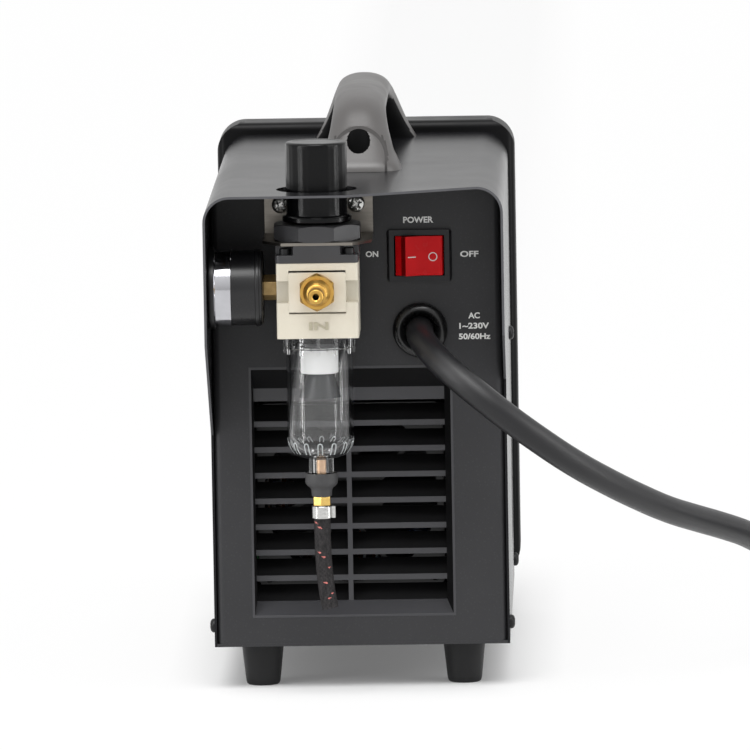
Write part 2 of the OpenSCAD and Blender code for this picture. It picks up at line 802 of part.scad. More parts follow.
// Funnel from the panel's face down to the slotted plate, with four sloped sides
module grille_funnel() {
    top = grille_low + grille_h;
    wall = 1.2;
    intersection() {
        extrude_x(grille_left + wall / 2, grille_right - wall / 2) polygon([
            [-1, grille_low + wall], [0, grille_low + wall], [grille_recess, slots_low],
            [grille_recess, top - slope_top_h], [0, top - wall], [-1, top - wall]
        ]);
        extrude_z(0, case_top) polygon([
            [grille_left + wall, -1], [grille_left + wall, 0], [slots_left, grille_recess],
            [slots_right, grille_recess], [grille_right - wall, 0], [grille_right - wall, -1]
        ]);
    }
}

// Slots of the two columns
module grille_slots() {
    for (i = [0:grille_rows - 1]) {
        z = slots_low + i * grille_pitch;
        extrude_y(grille_recess - 1, grille_back + 1) {
            translate([slots_left, z]) square([rib_x - grille_rib / 2 - slots_left, slot_h]);
            translate([rib_x + grille_rib / 2, z]) square([slots_right - rib_x - grille_rib / 2, slot_h]);
        }
    }
}

// Louvre blades that rise inwards and leave a gap at the top of each slot
module louvres() {
    rise = slot_h * 0.72;
    y0 = grille_recess + grille_plate_t / 2;
    for (i = [0:grille_rows - 1]) {
        z = slots_low + i * grille_pitch;
        extrude_x(slots_left - 0.5, slots_right + 0.5) polygon([
            [y0, z - louvre_t], [y0, z + 0.2], [grille_back, z + rise], [grille_back, z + rise - louvre_t]
        ]);
    }
}

module rear_grille() placed() color("#2d2d2f") union() {
    difference() {
        union() {
            extrude_y(0, grille_back) translate([grille_left, grille_low]) square([grille_w, grille_h]);
            extrude_y(panel_t, panel_t + 1.6) translate([grille_left - grille_lip, grille_low - grille_lip])
                square([grille_w + 2 * grille_lip, grille_h + 2 * grille_lip]);
        }
        grille_funnel();
        grille_slots();
        // Behind the plate only the ribs that carry the blades are left
        extrude_y(grille_recess + grille_plate_t, grille_back + 1) {
            translate([slots_left, grille_low - 1])
                square([rib_x - grille_rib / 2 - slots_left, grille_h + 2]);
            translate([rib_x + grille_rib / 2, grille_low - 1])
                square([slots_right - rib_x - grille_rib / 2, grille_h + 2]);
        }
    }
    louvres();
}

// ---- Fan -----------------------------------------------------------------------------------

fan_bore_d = fan_w - 6;
fan_boss_l = 6;
fan_gap = 0.5; // between the rotor and the frame's struts

module fan_frame() placed() color("#18181a") translate([fan_x, fan_y, fan_z]) difference() {
    union() {
        difference() {
            extrude_y(0, fan_l) round_rect(fan_w, fan_w, 5);
            bar_y(0, 0, fan_bore_d, -1, fan_l + 1);
        }
        bar_y(0, 0, fan_hub_d, fan_l - fan_boss_l, fan_l);
        for (a = [45:90:315]) {
            rotate([0, a, 0]) translate([0, fan_l - 3, -2.5]) cube([fan_bore_d / 2 + 1, 3, 5]);
        }
    }
    bar_y(0, 0, fan_axle_d + 2 * slip, fan_l - fan_boss_l - 1, fan_l - 1);
    for (sx = [-1, 1], sz = [-1, 1]) {
        bar_y(sx * (fan_w / 2 - fan_screw_in), sz * (fan_w / 2 - fan_screw_in), 4.3, -1, fan_l + 1);
    }
}

module fan_rotor() placed() color("#222224") translate([fan_x, fan_y, fan_z]) {
    back = fan_l - fan_boss_l - fan_gap;
    tip = fan_bore_d / 2 - fan_tip_gap;
    bar_y(0, 0, fan_hub_d - 1, 2, back);
    bar_y(0, 0, fan_axle_d, 2, fan_l - 2);
    intersection() {
        bar_y(0, 0, 2 * tip, 2, back);
        for (i = [0:fan_blades - 1]) {
            rotate([0, i * 360 / fan_blades, 0]) translate([fan_hub_d / 2 - 2, (back + 2) / 2, 0])
                rotate([40, 0, 0]) translate([0, -16, -0.9]) cube([tip, 32, 1.8]);
        }
    }
}

// ---- Regulator and filter ------------------------------------------------------------------

// To the regulator's axis
module at_reg() placed() translate([reg_x, -reg_y, 0]) children();

// Bent sheet: upright on the rear panel, shelf round the bonnet's neck
module regulator_bracket() {
    color("#b4b2ae") at_reg() difference() {
        union() {
            extrude_z(shelf_z, nut_z) translate([-bracket_w / 2, -reg_w / 2])
                square([bracket_w, reg_w / 2 + reg_y]);
            extrude_y(reg_y - bracket_t, reg_y) translate([-bracket_w / 2, shelf_z])
                square([bracket_w, bracket_t + bracket_h]);
        }
        bar_z(0, 0, neck_d + 0.6, shelf_z - 1, nut_z + 1);
        for (s = [-1, 1]) {
            bar_y(s * bracket_screw_x, bracket_screw_z, screw_d + 0.4, reg_y - 5, reg_y + 5);
            // Slanted front corners of the shelf
            extrude_z(shelf_z - 1, nut_z + 1) polygon([
                [s * bracket_w / 2, -reg_w / 2 - 1], [s * bracket_w / 2, -reg_w / 2 + 14],
                [s * (bracket_w / 2 - 10), -reg_w / 2 - 1]
            ]);
        }
    }
}

module bracket_screws() at_reg() color("#d0d0d0") {
    for (s = [-1, 1]) {
        translate([s * bracket_screw_x, reg_y - bracket_t, bracket_screw_z]) rotate([90, 0, 0])
            pan_screw(screw_d - 0.2, 8.6, 2.6, bracket_t + panel_t + 3);
    }
}

module ring_nut() at_reg() color("#232325") translate([0, 0, nut_z]) difference() {
    intersection() {
        rotate(22.5) cylinder(d = ring_nut_w / cos(22.5), h = ring_nut_h, $fn = 8);
        // Turned chamfers over and under the eight flats
        union() {
            cylinder(d1 = ring_nut_w, d2 = ring_nut_w + 4, h = 1.2);
            translate([0, 0, 1.2]) cylinder(d = ring_nut_w + 4, h = ring_nut_h - 2.4);
            translate([0, 0, ring_nut_h - 1.2]) cylinder(d1 = ring_nut_w + 4, d2 = ring_nut_w, h = 1.2);
        }
    }
    translate([0, 0, -1]) cylinder(d = neck_d + 0.6, h = ring_nut_h + 2);
}

module regulator_bonnet() at_reg() color("#262628") difference() {
    union() {
        extrude_z(body_top, shelf_z) round_rect(reg_w + 0.8, reg_w + 0.8, 2.5);
        bar_z(0, 0, neck_d, shelf_z - 1, neck_top);
    }
    // Corner pockets of the bonnet's screws
    for (sx = [-1, 1], sy = [-1, 1]) {
        translate([sx * reg_w / 2, sy * reg_w / 2, shelf_z - 4.5]) cylinder(r = 8.5, h = 5);
    }
    bar_z(0, 0, spindle_d + 2 * slip, body_top + 2, neck_top + 1);
}

module regulator_body() at_reg() color("#d9d3c3") difference() {
    union() {
        extrude_z(body_low, body_top) round_rect(reg_w, reg_w, 1.5);
        extrude_y(-reg_w / 2 - plate_t, -reg_w / 2 + 1) translate([0, port_z - 0.6]) round_rect(27.8, 19.4, 0.8);
    }
    // Grooves over and under the raised plate
    for (z = [port_z + 9.6, port_z - 10.8]) {
        extrude_y(-reg_w / 2 - 2, -reg_w / 2 + 3) translate([0, z]) square([27.8, 0.8], center = true);
    }
    // Stepped pads at the sides, level with the ports
    for (s = [-1, 1]) {
        extrude_y(-reg_w / 2 - 2, -reg_w / 2 + 6) translate([s * (reg_w / 2 - 2.5), port_z - 0.4])
            square([7, 10.8], center = true);
    }
    bar_y(0, port_z, port_d, -reg_w / 2 - 2, -reg_w / 2 + 9);
    bar_y(0, port_z, port_d, reg_w / 2 - 9, reg_w / 2 + 1);
    bar_x(0, port_z, port_d - 2, -reg_w / 2 - 1, -reg_w / 2 + 8);
    // Throat over the filter element
    bar_z(0, 0, filter_d - 6, body_low - 1, body_low + 6);
}

module adjust_spindle() at_reg() color("#a8a9ab") {
    bar_z(0, 0, spindle_d, body_top + 3, knob_top - knob_hub_h + knob_hub_in);
}

// Knob with a flared skirt and fine ribs; it is hollow under its solid end
module pressure_knob() at_reg() color("#131314") difference() {
    union() {
        bar_z(0, 0, knob_d, knob_z, knob_top - knob_dome_h);
        translate([0, 0, knob_top - knob_dome_h]) cylinder(d1 = knob_d, d2 = knob_d - 5, h = knob_dome_h);
        bar_z(0, 0, knob_skirt_d, knob_z, knob_z + knob_skirt_h - 1);
        translate([0, 0, knob_z + knob_skirt_h - 1]) cylinder(d1 = knob_skirt_d, d2 = knob_d, h = 1);
    }
    bar_z(0, 0, knob_d - 2 * knob_wall, knob_z - 1, knob_top - knob_hub_h);
    bar_z(0, 0, spindle_d + 2 * slip, knob_z - 1, knob_top - knob_hub_h + knob_hub_in + 0.5);
    // Ribs left between fine grooves
    for (a = [0:360 / knob_grooves:359]) {
        rotate(a) translate([knob_d / 2 + 0.3, 0, 0]) bar_z(0, 0, 1, knob_z + knob_skirt_h + 4, knob_top - 3);
    }
}

// Brass quick-connect nipple with a hexagon and a stepped nose
module inlet_nipple() at_reg() color("#c9973a") translate([0, -reg_w / 2 - plate_t, port_z]) difference() {
    union() {
        bar_y(0, 0, port_d - 2 * slip, 0, 7);
        intersection() {
            hex_y(0, 0, nipple_hex_w, -7, 0);
            translate([0, -7, 0]) rotate([-90, 0, 0]) cylinder(d1 = nipple_hex_w, d2 = nipple_hex_w + 8, h = 7);
        }
        translate([0, -10, 0]) rotate([-90, 0, 0]) cylinder(d1 = nipple_d + 2.4, d2 = nipple_hex_w - 3, h = 3);
        bar_y(0, 0, nipple_d + 1.6, -14, -9.9);
        bar_y(0, 0, nipple_d - 1.8, -nipple_l + 9, -13.9);
        bar_y(0, 0, nipple_d, -nipple_l + 1, -nipple_l + 9);
        translate([0, -nipple_l, 0]) rotate([-90, 0, 0]) cylinder(d1 = nipple_d - 1.6, d2 = nipple_d, h = 1);
    }
    bar_y(0, 0, nipple_bore_d, -nipple_l - 1, 8);
}

// Bulkhead fitting from the regulator's outlet through the rear panel
module outlet_fitting() at_reg() color("#c9973a") translate([0, 0, port_z]) difference() {
    union() {
        bar_y(0, 0, port_d - 2 * slip, reg_w / 2 - 7, valve_y + reg_y);
        hex_y(0, 0, 17, reg_w / 2, reg_w / 2 + 5);
        hex_y(0, 0, 17, reg_y - 4, reg_y);
        hex_y(0, 0, 17, reg_y + panel_t, reg_y + panel_t + 4);
    }
    bar_y(0, 0, 6, reg_w / 2 - 8, valve_y + reg_y + 1);
}

// ---- Gauge ---------------------------------------------------------------------------------

// To the gauge's axis, on the side port
module at_gauge() placed() translate([0, -reg_y, port_z]) children();

module gauge_port() at_gauge() color("#c9973a") {
    x1 = gauge_back_x + gauge_port_l;
    bar_x(0, 0, port_d - 2 - 2 * slip, x1, x1 + 7);
    translate([gauge_back_x, 0, 0]) rotate([0, 90, 0])
        cylinder(d = 11 / cos(30), h = gauge_port_l, $fn = 6);
}

// Turned case: rim, drum with a lip near its back edge, open towards the window
module gauge_case() at_gauge() color("#2b2b2c") difference() {
    union() {
        bar_x(0, 0, gauge_d, gauge_x, gauge_x + gauge_rim_h);
        bar_x(0, 0, gauge_drum_d, gauge_x + 1, gauge_back_x - 1);
        bar_x(0, 0, gauge_drum_d + 1.2, gauge_back_x - 4, gauge_back_x - 2);
        translate([gauge_back_x - 1, 0, 0]) rotate([0, 90, 0])
            cylinder(d1 = gauge_drum_d, d2 = gauge_drum_d - 2, h = 1);
    }
    bar_x(0, 0, window_d - 1, gauge_x - 1, dial_x + 1);
    bar_x(0, 0, gauge_drum_d - 2 * gauge_wall, dial_x, gauge_back_x - 5);
}

module gauge_dial() at_gauge() color("#f4f3ee") difference() {
    bar_x(0, 0, window_d - 1.6, dial_x + 0.2, dial_x + 1);
    bar_x(0, 0, 2, dial_x - 1, dial_x + 2);
}

module gauge_lens() at_gauge() color("#dfe8ec", 0.4) {
    bar_x(0, 0, window_d - 1.2, gauge_x + 0.3, gauge_x + 0.3 + lens_t);
}

// Pointer with a round boss and a short tail; it points down to the left at rest
module gauge_needle() at_gauge() color("#1a1a1a") {
    bar_x(0, 0, 4, gauge_x + 2.2, dial_x - 0.4);
    bar_x(0, 0, 2 - 2 * slip, gauge_x + 2.2, dial_x + 2);
    rotate([-135, 0, 0]) extrude_x(dial_x - 1.1, dial_x - 0.5)
        polygon([[-1, -4], [1, -4], [0.35, needle_l], [-0.35, needle_l]]);
}

// ---- Bowl and drain ------------------------------------------------------------------------

// Half section of the bowl's outside, drawn in by inset
module bowl_half(inset) {
    r = bowl_d / 2 - inset;
    low = bowl_low + inset;
    translate([0, low + bowl_round_r]) square([r, body_low - low - bowl_round_r + (inset > 0 ? 1 : 0)]);
    translate([0, low]) square([r - bowl_round_r, bowl_round_r + 1]);
    translate([r - bowl_round_r, low + bowl_round_r]) intersection() {
        circle(r = bowl_round_r);
        translate([0, -bowl_round_r]) square([bowl_round_r, bowl_round_r]);
    }
}

module filter_bowl() at_reg() color("#cfd8dc", 0.45) difference() {
    union() {
        rotate_extrude() bowl_half(0);
        bar_z(0, 0, bowl_neck_d, bowl_neck_z, bowl_low + bowl_wall);
        // Collar with grip ribs under the body
        bar_z(0, 0, bowl_d + 1.6, body_low - 6, body_low);
        for (a = [0:30:330]) {
            rotate(a) translate([bowl_d / 2 - 0.6, -0.8, body_low - 9]) cube([1.8, 1.6, 9]);
        }
    }
    rotate_extrude() bowl_half(bowl_wall);
    bar_z(0, 0, stem_d + 2, bowl_neck_z - 1, bowl_low + bowl_wall + 1);
}

module filter_element() at_reg() color("#f2f2ef") difference() {
    bar_z(0, 0, filter_d, filter_top - filter_l, filter_top);
    bar_z(0, 0, 8, filter_top - filter_l - 1, filter_top + 1);
}

// Stem that holds the element, with a vaned deflector over it and a cone under it
module filter_baffle() at_reg() color("#8d9194") {
    vane_z = filter_top + 2;
    bar_z(0, 0, 7.6, filter_top - filter_l - 3, body_low);
    bar_z(0, 0, filter_d + 3, filter_top, vane_z);
    for (a = [0:45:315]) {
        rotate(a) translate([5, -0.6, vane_z]) cube([5, 1.2, body_low - vane_z]);
    }
    translate([0, 0, filter_top - filter_l - 12]) cylinder(d1 = filter_d + 2, d2 = 12, h = 12);
}

// Cup that hangs round the bowl's neck and is pushed up to drain
module drain_cup() at_reg() color("#1f1f20") difference() {
    union() {
        bar_z(0, 0, drain_cup_d, cup_low, bowl_neck_z + cup_rim - drain_lift);
        translate([0, 0, drain_hex_z]) cylinder(d1 = 9.8, d2 = 11, h = cup_taper);
    }
    bar_z(0, 0, bowl_neck_d + 0.8, cup_floor_z, bowl_neck_z + cup_rim + 1);
    bar_z(0, 0, stem_d, drain_hex_z - 1, cup_floor_z + 1);
}

module drain_stem() at_reg() color("#c9a24e") {
    bar_z(0, 0, stem_d - 2 * slip, drain_hex_z + 2, bowl_low - 1);
}

module drain_nipple() at_reg() color("#d8ab3f") {
    translate([0, 0, hose_z]) cylinder(d = 8.2 / cos(30), h = drain_hex_h, $fn = 6);
    bar_z(0, 0, stem_d - 2 * slip, drain_hex_z - 0.5, drain_hex_z + 2);
    bar_z(0, 0, hose_bore_d - 0.8, hose_z - barb_l, hose_z + 0.5);
}

// Band with a crimped ear
module ear_clamp() at_reg() color("#c3c5c8") translate([0, 0, hose_z - clamp_h - 0.2]) difference() {
    union() {
        cylinder(d = hose_d + 0.3 + 2 * clamp_t, h = clamp_h);
        translate([hose_d / 2 - 0.5, -1.8, 0]) cube([3, 3.6, clamp_h]);
    }
    translate([0, 0, -1]) cylinder(d = hose_d + 0.3, h = clamp_h + 2);
    translate([hose_d / 2 + 0.6, -0.9, 1]) cube([1.1, 1.8, clamp_h - 2]);
}

module drain_hose() at_reg() color("#2a2a2d") translate([0, 0, hose_z])
    sweep_pipe(hose_route, hose_d / 2, hose_bore_d / 2, 12, [0, 1, 0]);

// ---- Power switch --------------------------------------------------------------------------

// To the rocker's pivot
module at_switch() placed() translate([switch_x, pivot_y, switch_z]) children();

module switch_housing() at_switch() color("#161617") difference() {
    union() {
        intersection() {
            extrude_y(-pivot_y - switch_rim, -pivot_y) round_rect(switch_w, switch_h, 1.5);
            // Bezel's edges slope back to the panel
            extrude_z(-50, 50) polygon([
                [-switch_w / 2, -pivot_y], [-switch_w / 2 + 1.2, -pivot_y - switch_rim],
                [switch_w / 2 - 1.2, -pivot_y - switch_rim], [switch_w / 2, -pivot_y]
            ]);
        }
        extrude_y(-pivot_y - 1, switch_body_l - pivot_y) square([switch_body_w, switch_body_h], center = true);
        for (x = [-8, 0, 8]) {
            translate([x - 0.4, switch_body_l - pivot_y - 1, -3]) cube([0.8, 10, 6]);
        }
    }
    extrude_y(-pivot_y - switch_rim - 1, 13) square([rocker_w + 2 * rocker_gap, rocker_h + 2 * rocker_gap], center = true);
    translate([0, 0, -rocker_h / 2 - 1.2]) cylinder(d = pivot_pin_d + 2 * slip, h = rocker_h + 2.4);
}

// Rocker with a dished face, on two trunnions; its left end stands out when it is off
module power_rocker() at_switch() color("#c4161c") rotate(rocker_swing / 2) {
    intersection() {
        extrude_z(-rocker_h / 2, rocker_h / 2) polygon([
            [-rocker_r, -rocker_out], [0, -rocker_mid], [rocker_r, -rocker_out],
            [rocker_r, -1], [5, 6], [-5, 6], [-rocker_r, -1]
        ]);
        cylinder(r = rocker_r, h = rocker_h + 2, center = true);
    }
    translate([0, 0, -rocker_h / 2 - 1]) cylinder(d = pivot_pin_d, h = rocker_h + 2);
}

// ---- Mains cord ----------------------------------------------------------------------------

// Snap-in bushing: domed collar outside, tapered sleeve inside
module cord_bushing() placed() color("#141415") translate([bushing_x, 0, bushing_z]) difference() {
    union() {
        bar_y(0, 0, bushing_d, -bushing_l + 2, 0);
        translate([0, -bushing_l, 0]) rotate([-90, 0, 0]) cylinder(d1 = bushing_d - 4, d2 = bushing_d, h = 2);
        bar_y(0, 0, bushing_d - 6.4, -1, 8);
        translate([0, 8, 0]) rotate([-90, 0, 0]) cylinder(d1 = bushing_d - 6.4, d2 = cord_d + 2.4, h = 16);
    }
    translate([0, -bushing_l - 0.01, 0]) rotate([-90, 0, 0]) cylinder(d1 = cord_d + 5.4, d2 = cord_d + 0.4, h = bushing_l + 0.01);
}

// Point of the coil's middle line at turn t: in along the lower layer, out along the upper one
function coil_point(t) =
    let (
        half = coil_turns / 2,
        inward = t < half ? t : coil_turns - t,
        r = coil_r + (half / 2 - inward) * coil_step,
        climb = min(max((t - half + 0.25) * 2, 0), 1),
        z = coil_z + coil_layer * climb,
        a = coil_start - 360 * t
    )
    [coil_x + r * cos(a), coil_y + r * sin(a), z];

coil_line = [for (i = [0:coil_turns * coil_rings]) coil_point(i / coil_rings)];
coil_in = unit([sin(coil_start), -cos(coil_start), 0]);
coil_end = coil_point(coil_turns);
coil_out_a = coil_start - 360 * coil_turns;
coil_out = [sin(coil_out_a), -cos(coil_out_a), 0];
coil_path = concat([coil_line[0] - cord_d * coil_in], coil_line, [for (s = [1, 2]) coil_end + s * cord_d * coil_out]);
plug_at = coil_end + 2 * cord_d * coil_out;

// Least space between two stretches of the coil that are more than half a turn apart
coil_gap = min([
    for (i = [0:len(coil_line) - 1], j = [i + coil_rings / 2:1:len(coil_line) - 1])
        norm(coil_line[i] - coil_line[j]) - cord_d
]);
echo(coil_gap = coil_gap);

cord_path = concat(cord_route, [coil_path[0] - cord_d * coil_in, coil_path[0]]);

module power_cord() placed() color("#3a3a3c") sweep(cord_path, cord_r, cord_sides);

module cord_coil() placed() color("#3a3a3c") sweep(coil_path, cord_r, coil_sides);

// Strap round the bundle, which stands on it
module cord_tie() placed() color("#26272a") {
    a = 60;
    bundle = 2 * coil_step + 0.6;
    bundle_h = coil_layer + cord_d + 0.2;
    translate([coil_x, coil_y, 0]) rotate(a) translate([coil_r + 1.2, 0, strap_t + bundle_h / 2])
        extrude_y(-strap_w / 2, strap_w / 2) difference() {
            round_rect(bundle + 2 * strap_t, bundle_h + 2 * strap_t, 4);
            round_rect(bundle, bundle_h, 4 - strap_t);
        }
}

// Round rubber mains plug with two pins, earth clips in grooves and a ribbed tail
module power_plug() {
    tail_l = 30;
    placed() color("#222223") translate(plug_at) rotate(coil_out_a - 180) rotate([-90, 0, 0]) rotate(180) difference() {
        union() {
            cylinder(d1 = cord_d + 5, d2 = 26, h = tail_l);
            for (i = [0:4]) {
                translate([0, 0, 4 + i * 5]) cylinder(d = cord_d + 9 + i * 1.2, h = 2.4);
            }
            translate([0, 0, tail_l - 1]) cylinder(d1 = 26, d2 = plug_d - 4, h = 9);
            translate([0, 0, tail_l + 8]) cylinder(d = plug_d - 4, h = plug_l - 16);
            translate([0, 0, tail_l + plug_l - 9]) cylinder(d = plug_d, h = 9);
            for (s = [-1, 1]) {
                translate([s * 9.5, 0, tail_l + plug_l - 1]) cylinder(d = 4.8, h = 19);
                translate([s * 9.5, 0, tail_l + plug_l + 18]) cylinder(d1 = 4.8, d2 = 2.8, h = 1.4);
            }
        }
        for (s = [-1, 1]) {
            translate([-3, s * (plug_d / 2 + 1) - 3, tail_l + plug_l - 16]) cube([6, 6, 18]);
        }
        translate([0, 0, -1]) cylinder(d = cord_d - 2, h = 0.5);
    }
}

// ---- Inside --------------------------------------------------------------------------------

module power_board() placed() color("#1f6b3a") difference() {
    union() {
        extrude_z(board_z, board_z + board_t) translate([-62, board_y0]) square([124, board_l]);
        for (sx = [-1, 1], y = [board_y0 + 8, board_y0 + board_l - 8]) {
            bar_z(sx * 56, y, 7, floor_z, board_z + 0.5);
        }
    }
    for (sx = [-1, 1], y = [board_y0 + 8, board_y0 + board_l - 8]) {
        bar_z(sx * 56, y, 3, floor_z - 1, board_z + board_t + 1);
    }
}

module heatsink() placed() color("#a9adb1") {
    z = board_z + board_t;
    fins = 11;
    l = board_l - 90;
    extrude_z(z, z + 6) translate([-52, board_y0 + 8]) square([66, l]);
    for (i = [0:fins - 1]) {
        extrude_z(z + 5, z + 56) translate([-52 + i * 6.4, board_y0 + 8]) square([2, l]);
    }
}

// Ferrite core of three legs and two yokes, wound round its middle leg
module transformer() placed() color("#7c5a2c") {
    z = board_z + board_t;
    translate([-20, core_y, z]) {
        for (x = [-24, 0, 24]) {
            translate([x - 4, -20, 0]) cube([8, 40, 46]);
        }
        for (h = [0, 38]) {
            translate([-28, -20, h]) cube([56, 40, 8]);
        }
        extrude_z(9, 37) round_rect(36, 54, 8);
    }
}

module capacitors() placed() color("#2b3f66") {
    z = board_z + board_t;
    for (i = [0:1], j = [0:1]) {
        translate([34 + j * 24 - 4, board_y0 + 24 + i * 28, z]) {
            cylinder(d = 22, h = 38);
            translate([0, 0, 37]) cylinder(d1 = 22, d2 = 20, h = 2);
        }
    }
}

// Valve between the bulkhead fitting and the torch's air tube
module solenoid_valve() placed() color("#3d4146") translate([reg_x, valve_y, port_z]) {
    extrude_y(0, valve_l) round_rect(22, 22, 2);
    translate([0, valve_l / 2, 10]) cylinder(d = 20, h = 22);
    translate([-13, valve_l / 2 - 13, 13]) cube([26, 26, 17]);
    bar_y(0, 0, 12, valve_l - 1, valve_l + 8);
}

tube_bend_r = 24;
tube_y0 = valve_y + valve_l + 8;
tube_y1 = front_back_y - 16;

// Air tube: along the top, down behind the front panel, into the torch connector
module air_tube() placed() color("#2d66a8") {
    r = reg_x + socket_x; // of its last bend, towards the connector
    bar_y(reg_x, port_z, tube_d, tube_y0, tube_y1 - tube_bend_r);
    translate([reg_x, tube_y1 - tube_bend_r, port_z - tube_bend_r]) rotate([0, -90, 0])
        rotate_extrude(angle = 90) translate([tube_bend_r, 0]) circle(d = tube_d);
    bar_z(reg_x, tube_y1, tube_d, connector_z + r, port_z - tube_bend_r);
    translate([reg_x - r, tube_y1, connector_z + r]) rotate([-90, 0, 0])
        rotate_extrude(angle = 90) translate([r, 0]) circle(d = tube_d);
    translate([reg_x - r, tube_y1, connector_z]) sphere(d = tube_d);
    bar_y(-socket_x, connector_z, tube_d, tube_y1, front_back_y);
}

// ---- Front ---------------------------------------------------------------------------------

// Outline of the bezel, drawn in by inset
module bezel_outline(inset) {
    w = case_w + 2 * bezel_side;
    h = case_h + bezel_top;
    translate([0, foot_h + h / 2]) round_rect(w - 2 * inset, h - 2 * inset, bezel_corner_r - inset);
}

// Moulded frame with rounded edges that meets the cover's front edge
module front_bezel() placed() color("#242426") difference() {
    union() {
        intersection() {
            extrude_y(case_l, front_y) bezel_outline(0);
            extrude_x(-half_w - 20, half_w + 20)
                translate([case_l + bezel_l / 2, foot_h + (case_h + bezel_top) / 2])
                round_rect(bezel_l, case_h + bezel_top, bezel_edge_r);
            extrude_z(0, case_top + 20) translate([0, case_l + bezel_l / 2])
                round_rect(case_w + 2 * bezel_side, bezel_l, bezel_edge_r);
        }
        // Spigot inside the cover
        extrude_y(case_l - 6, case_l + 1) case_outline(sheet + 2, foot_h + 23);
    }
    extrude_y(case_l - 7, front_y + 1) bezel_outline(bezel_rim);
    // Seat of the front panel
    extrude_y(case_l - 7, front_face_y) bezel_outline(bezel_rim - 3);
}

module front_panel() placed() color("#2f3033") difference() {
    extrude_y(front_back_y, front_face_y) bezel_outline(bezel_rim - 3);
    bar_y(0, dial_z, shaft_d + 2 * slip, front_back_y - 1, front_face_y + 1);
    bar_y(button_x, dial_z, button_d + 2 * slip, front_back_y - 1, front_face_y + 1);
    extrude_y(front_back_y - 1, front_face_y + 1) translate([0, display_z])
        square([display_w - 4, display_h - 4], center = true);
    for (x = [-12, 0, 12]) {
        bar_y(x, lamp_z, 5, front_back_y - 1, front_face_y + 1);
    }
    for (s = [-1, 1]) {
        bar_y(s * socket_x, connector_z, 22, front_back_y - 1, front_face_y + 1);
    }
    bar_y(0, connector_z - 22, 12, front_back_y - 1, front_face_y + 1);
    // Air outlet slots between the controls and the connectors
    for (i = [0:3]) {
        extrude_y(front_back_y - 1, front_face_y + 1) translate([0, connector_z + 28 + i * 8])
            rotate(90) slot_2d(3.4, 84);
    }
}

module current_knob() placed() color("#1c1c1e") translate([0, 0, dial_z]) difference() {
    union() {
        bar_y(0, 0, shaft_d, front_back_y - 8, front_face_y + 2);
        translate([0, front_face_y + 0.6, 0]) rotate([-90, 0, 0]) {
            cylinder(d1 = dial_d, d2 = dial_d - 4, h = dial_l - 2);
            translate([0, 0, dial_l - 2]) cylinder(d1 = dial_d - 4, d2 = dial_d - 8, h = 2);
        }
    }
    // Finger flutes and pointer groove
    for (a = [0:24:359]) {
        rotate([0, a, 0]) bar_y(dial_d / 2 + 1, 0, 5, front_face_y + 4, front_face_y + dial_l + 2);
    }
    translate([-0.6, front_face_y + dial_l - 0.6, dial_d * 0.12]) cube([1.2, 3, dial_d * 0.3]);
}

module display_window() placed() color("#101114") extrude_y(front_face_y - 1.5, front_face_y + 1.2)
    translate([0, display_z]) round_rect(display_w - 4.4, display_h - 4.4, 2);

module status_lamps() placed() color("#b7d58a") for (x = [-12, 0, 12]) {
    bar_y(x, lamp_z, 4.8, front_back_y, front_face_y + 1);
    translate([x, front_face_y + 1, lamp_z]) rotate([-90, 0, 0]) cylinder(d1 = 4.8, d2 = 3, h = 0.9);
}

module mode_button() placed() color("#5d5f63") translate([button_x, 0, dial_z]) {
    bar_y(0, 0, button_d, front_back_y - 3, front_face_y + 3);
    translate([0, front_face_y + 3, 0]) rotate([-90, 0, 0]) cylinder(d1 = button_d, d2 = button_d - 1.6, h = 0.8);
}

// Threaded brass ring in a moulded flange, with the torch's gas port in its middle
module torch_connector() placed() color("#8b6c2f") translate([-socket_x, 0, connector_z]) difference() {
    union() {
        bar_y(0, 0, torch_d, front_face_y, front_face_y + 5);
        bar_y(0, 0, torch_d - 8, front_face_y + 5, torch_y);
        bar_y(0, 0, 21.6, front_back_y, front_face_y);
        for (i = [0:4]) {
            bar_y(0, 0, torch_d - 6.6, front_face_y + 9 + i * 3.6, front_face_y + 10.8 + i * 3.6);
        }
    }
    bar_y(0, 0, torch_d - 14, front_face_y + 14, torch_y + 1);
    bar_y(0, 0, 6, front_back_y - 1, front_face_y + 15);
}

module trigger_socket() placed() color("#9a9ca0") translate([0, 0, connector_z - 22]) difference() {
    union() {
        bar_y(0, 0, 16, front_face_y, front_face_y + 2.5);
        bar_y(0, 0, 12 - 0.2, front_back_y - 8, front_face_y + 9);
    }
    bar_y(0, 0, 9, front_face_y + 2, front_face_y + 10);
}

module work_socket() placed() color("#2a2a2c") translate([socket_x, 0, connector_z]) difference() {
    union() {
        bar_y(0, 0, socket_d, front_face_y, front_face_y + 6);
        translate([0, front_face_y + 6, 0]) rotate([-90, 0, 0])
            cylinder(d1 = socket_d - 4, d2 = socket_d - 8, h = 10);
        bar_y(0, 0, 21.6, front_back_y - 12, front_face_y);
    }
    bar_y(0, 0, socket_bore_d, front_face_y - 10, front_face_y + 17);
    // Keyway of the twist lock
    translate([-2, front_face_y - 10, socket_bore_d / 2 - 1]) cube([4, 30, 3.4]);
}

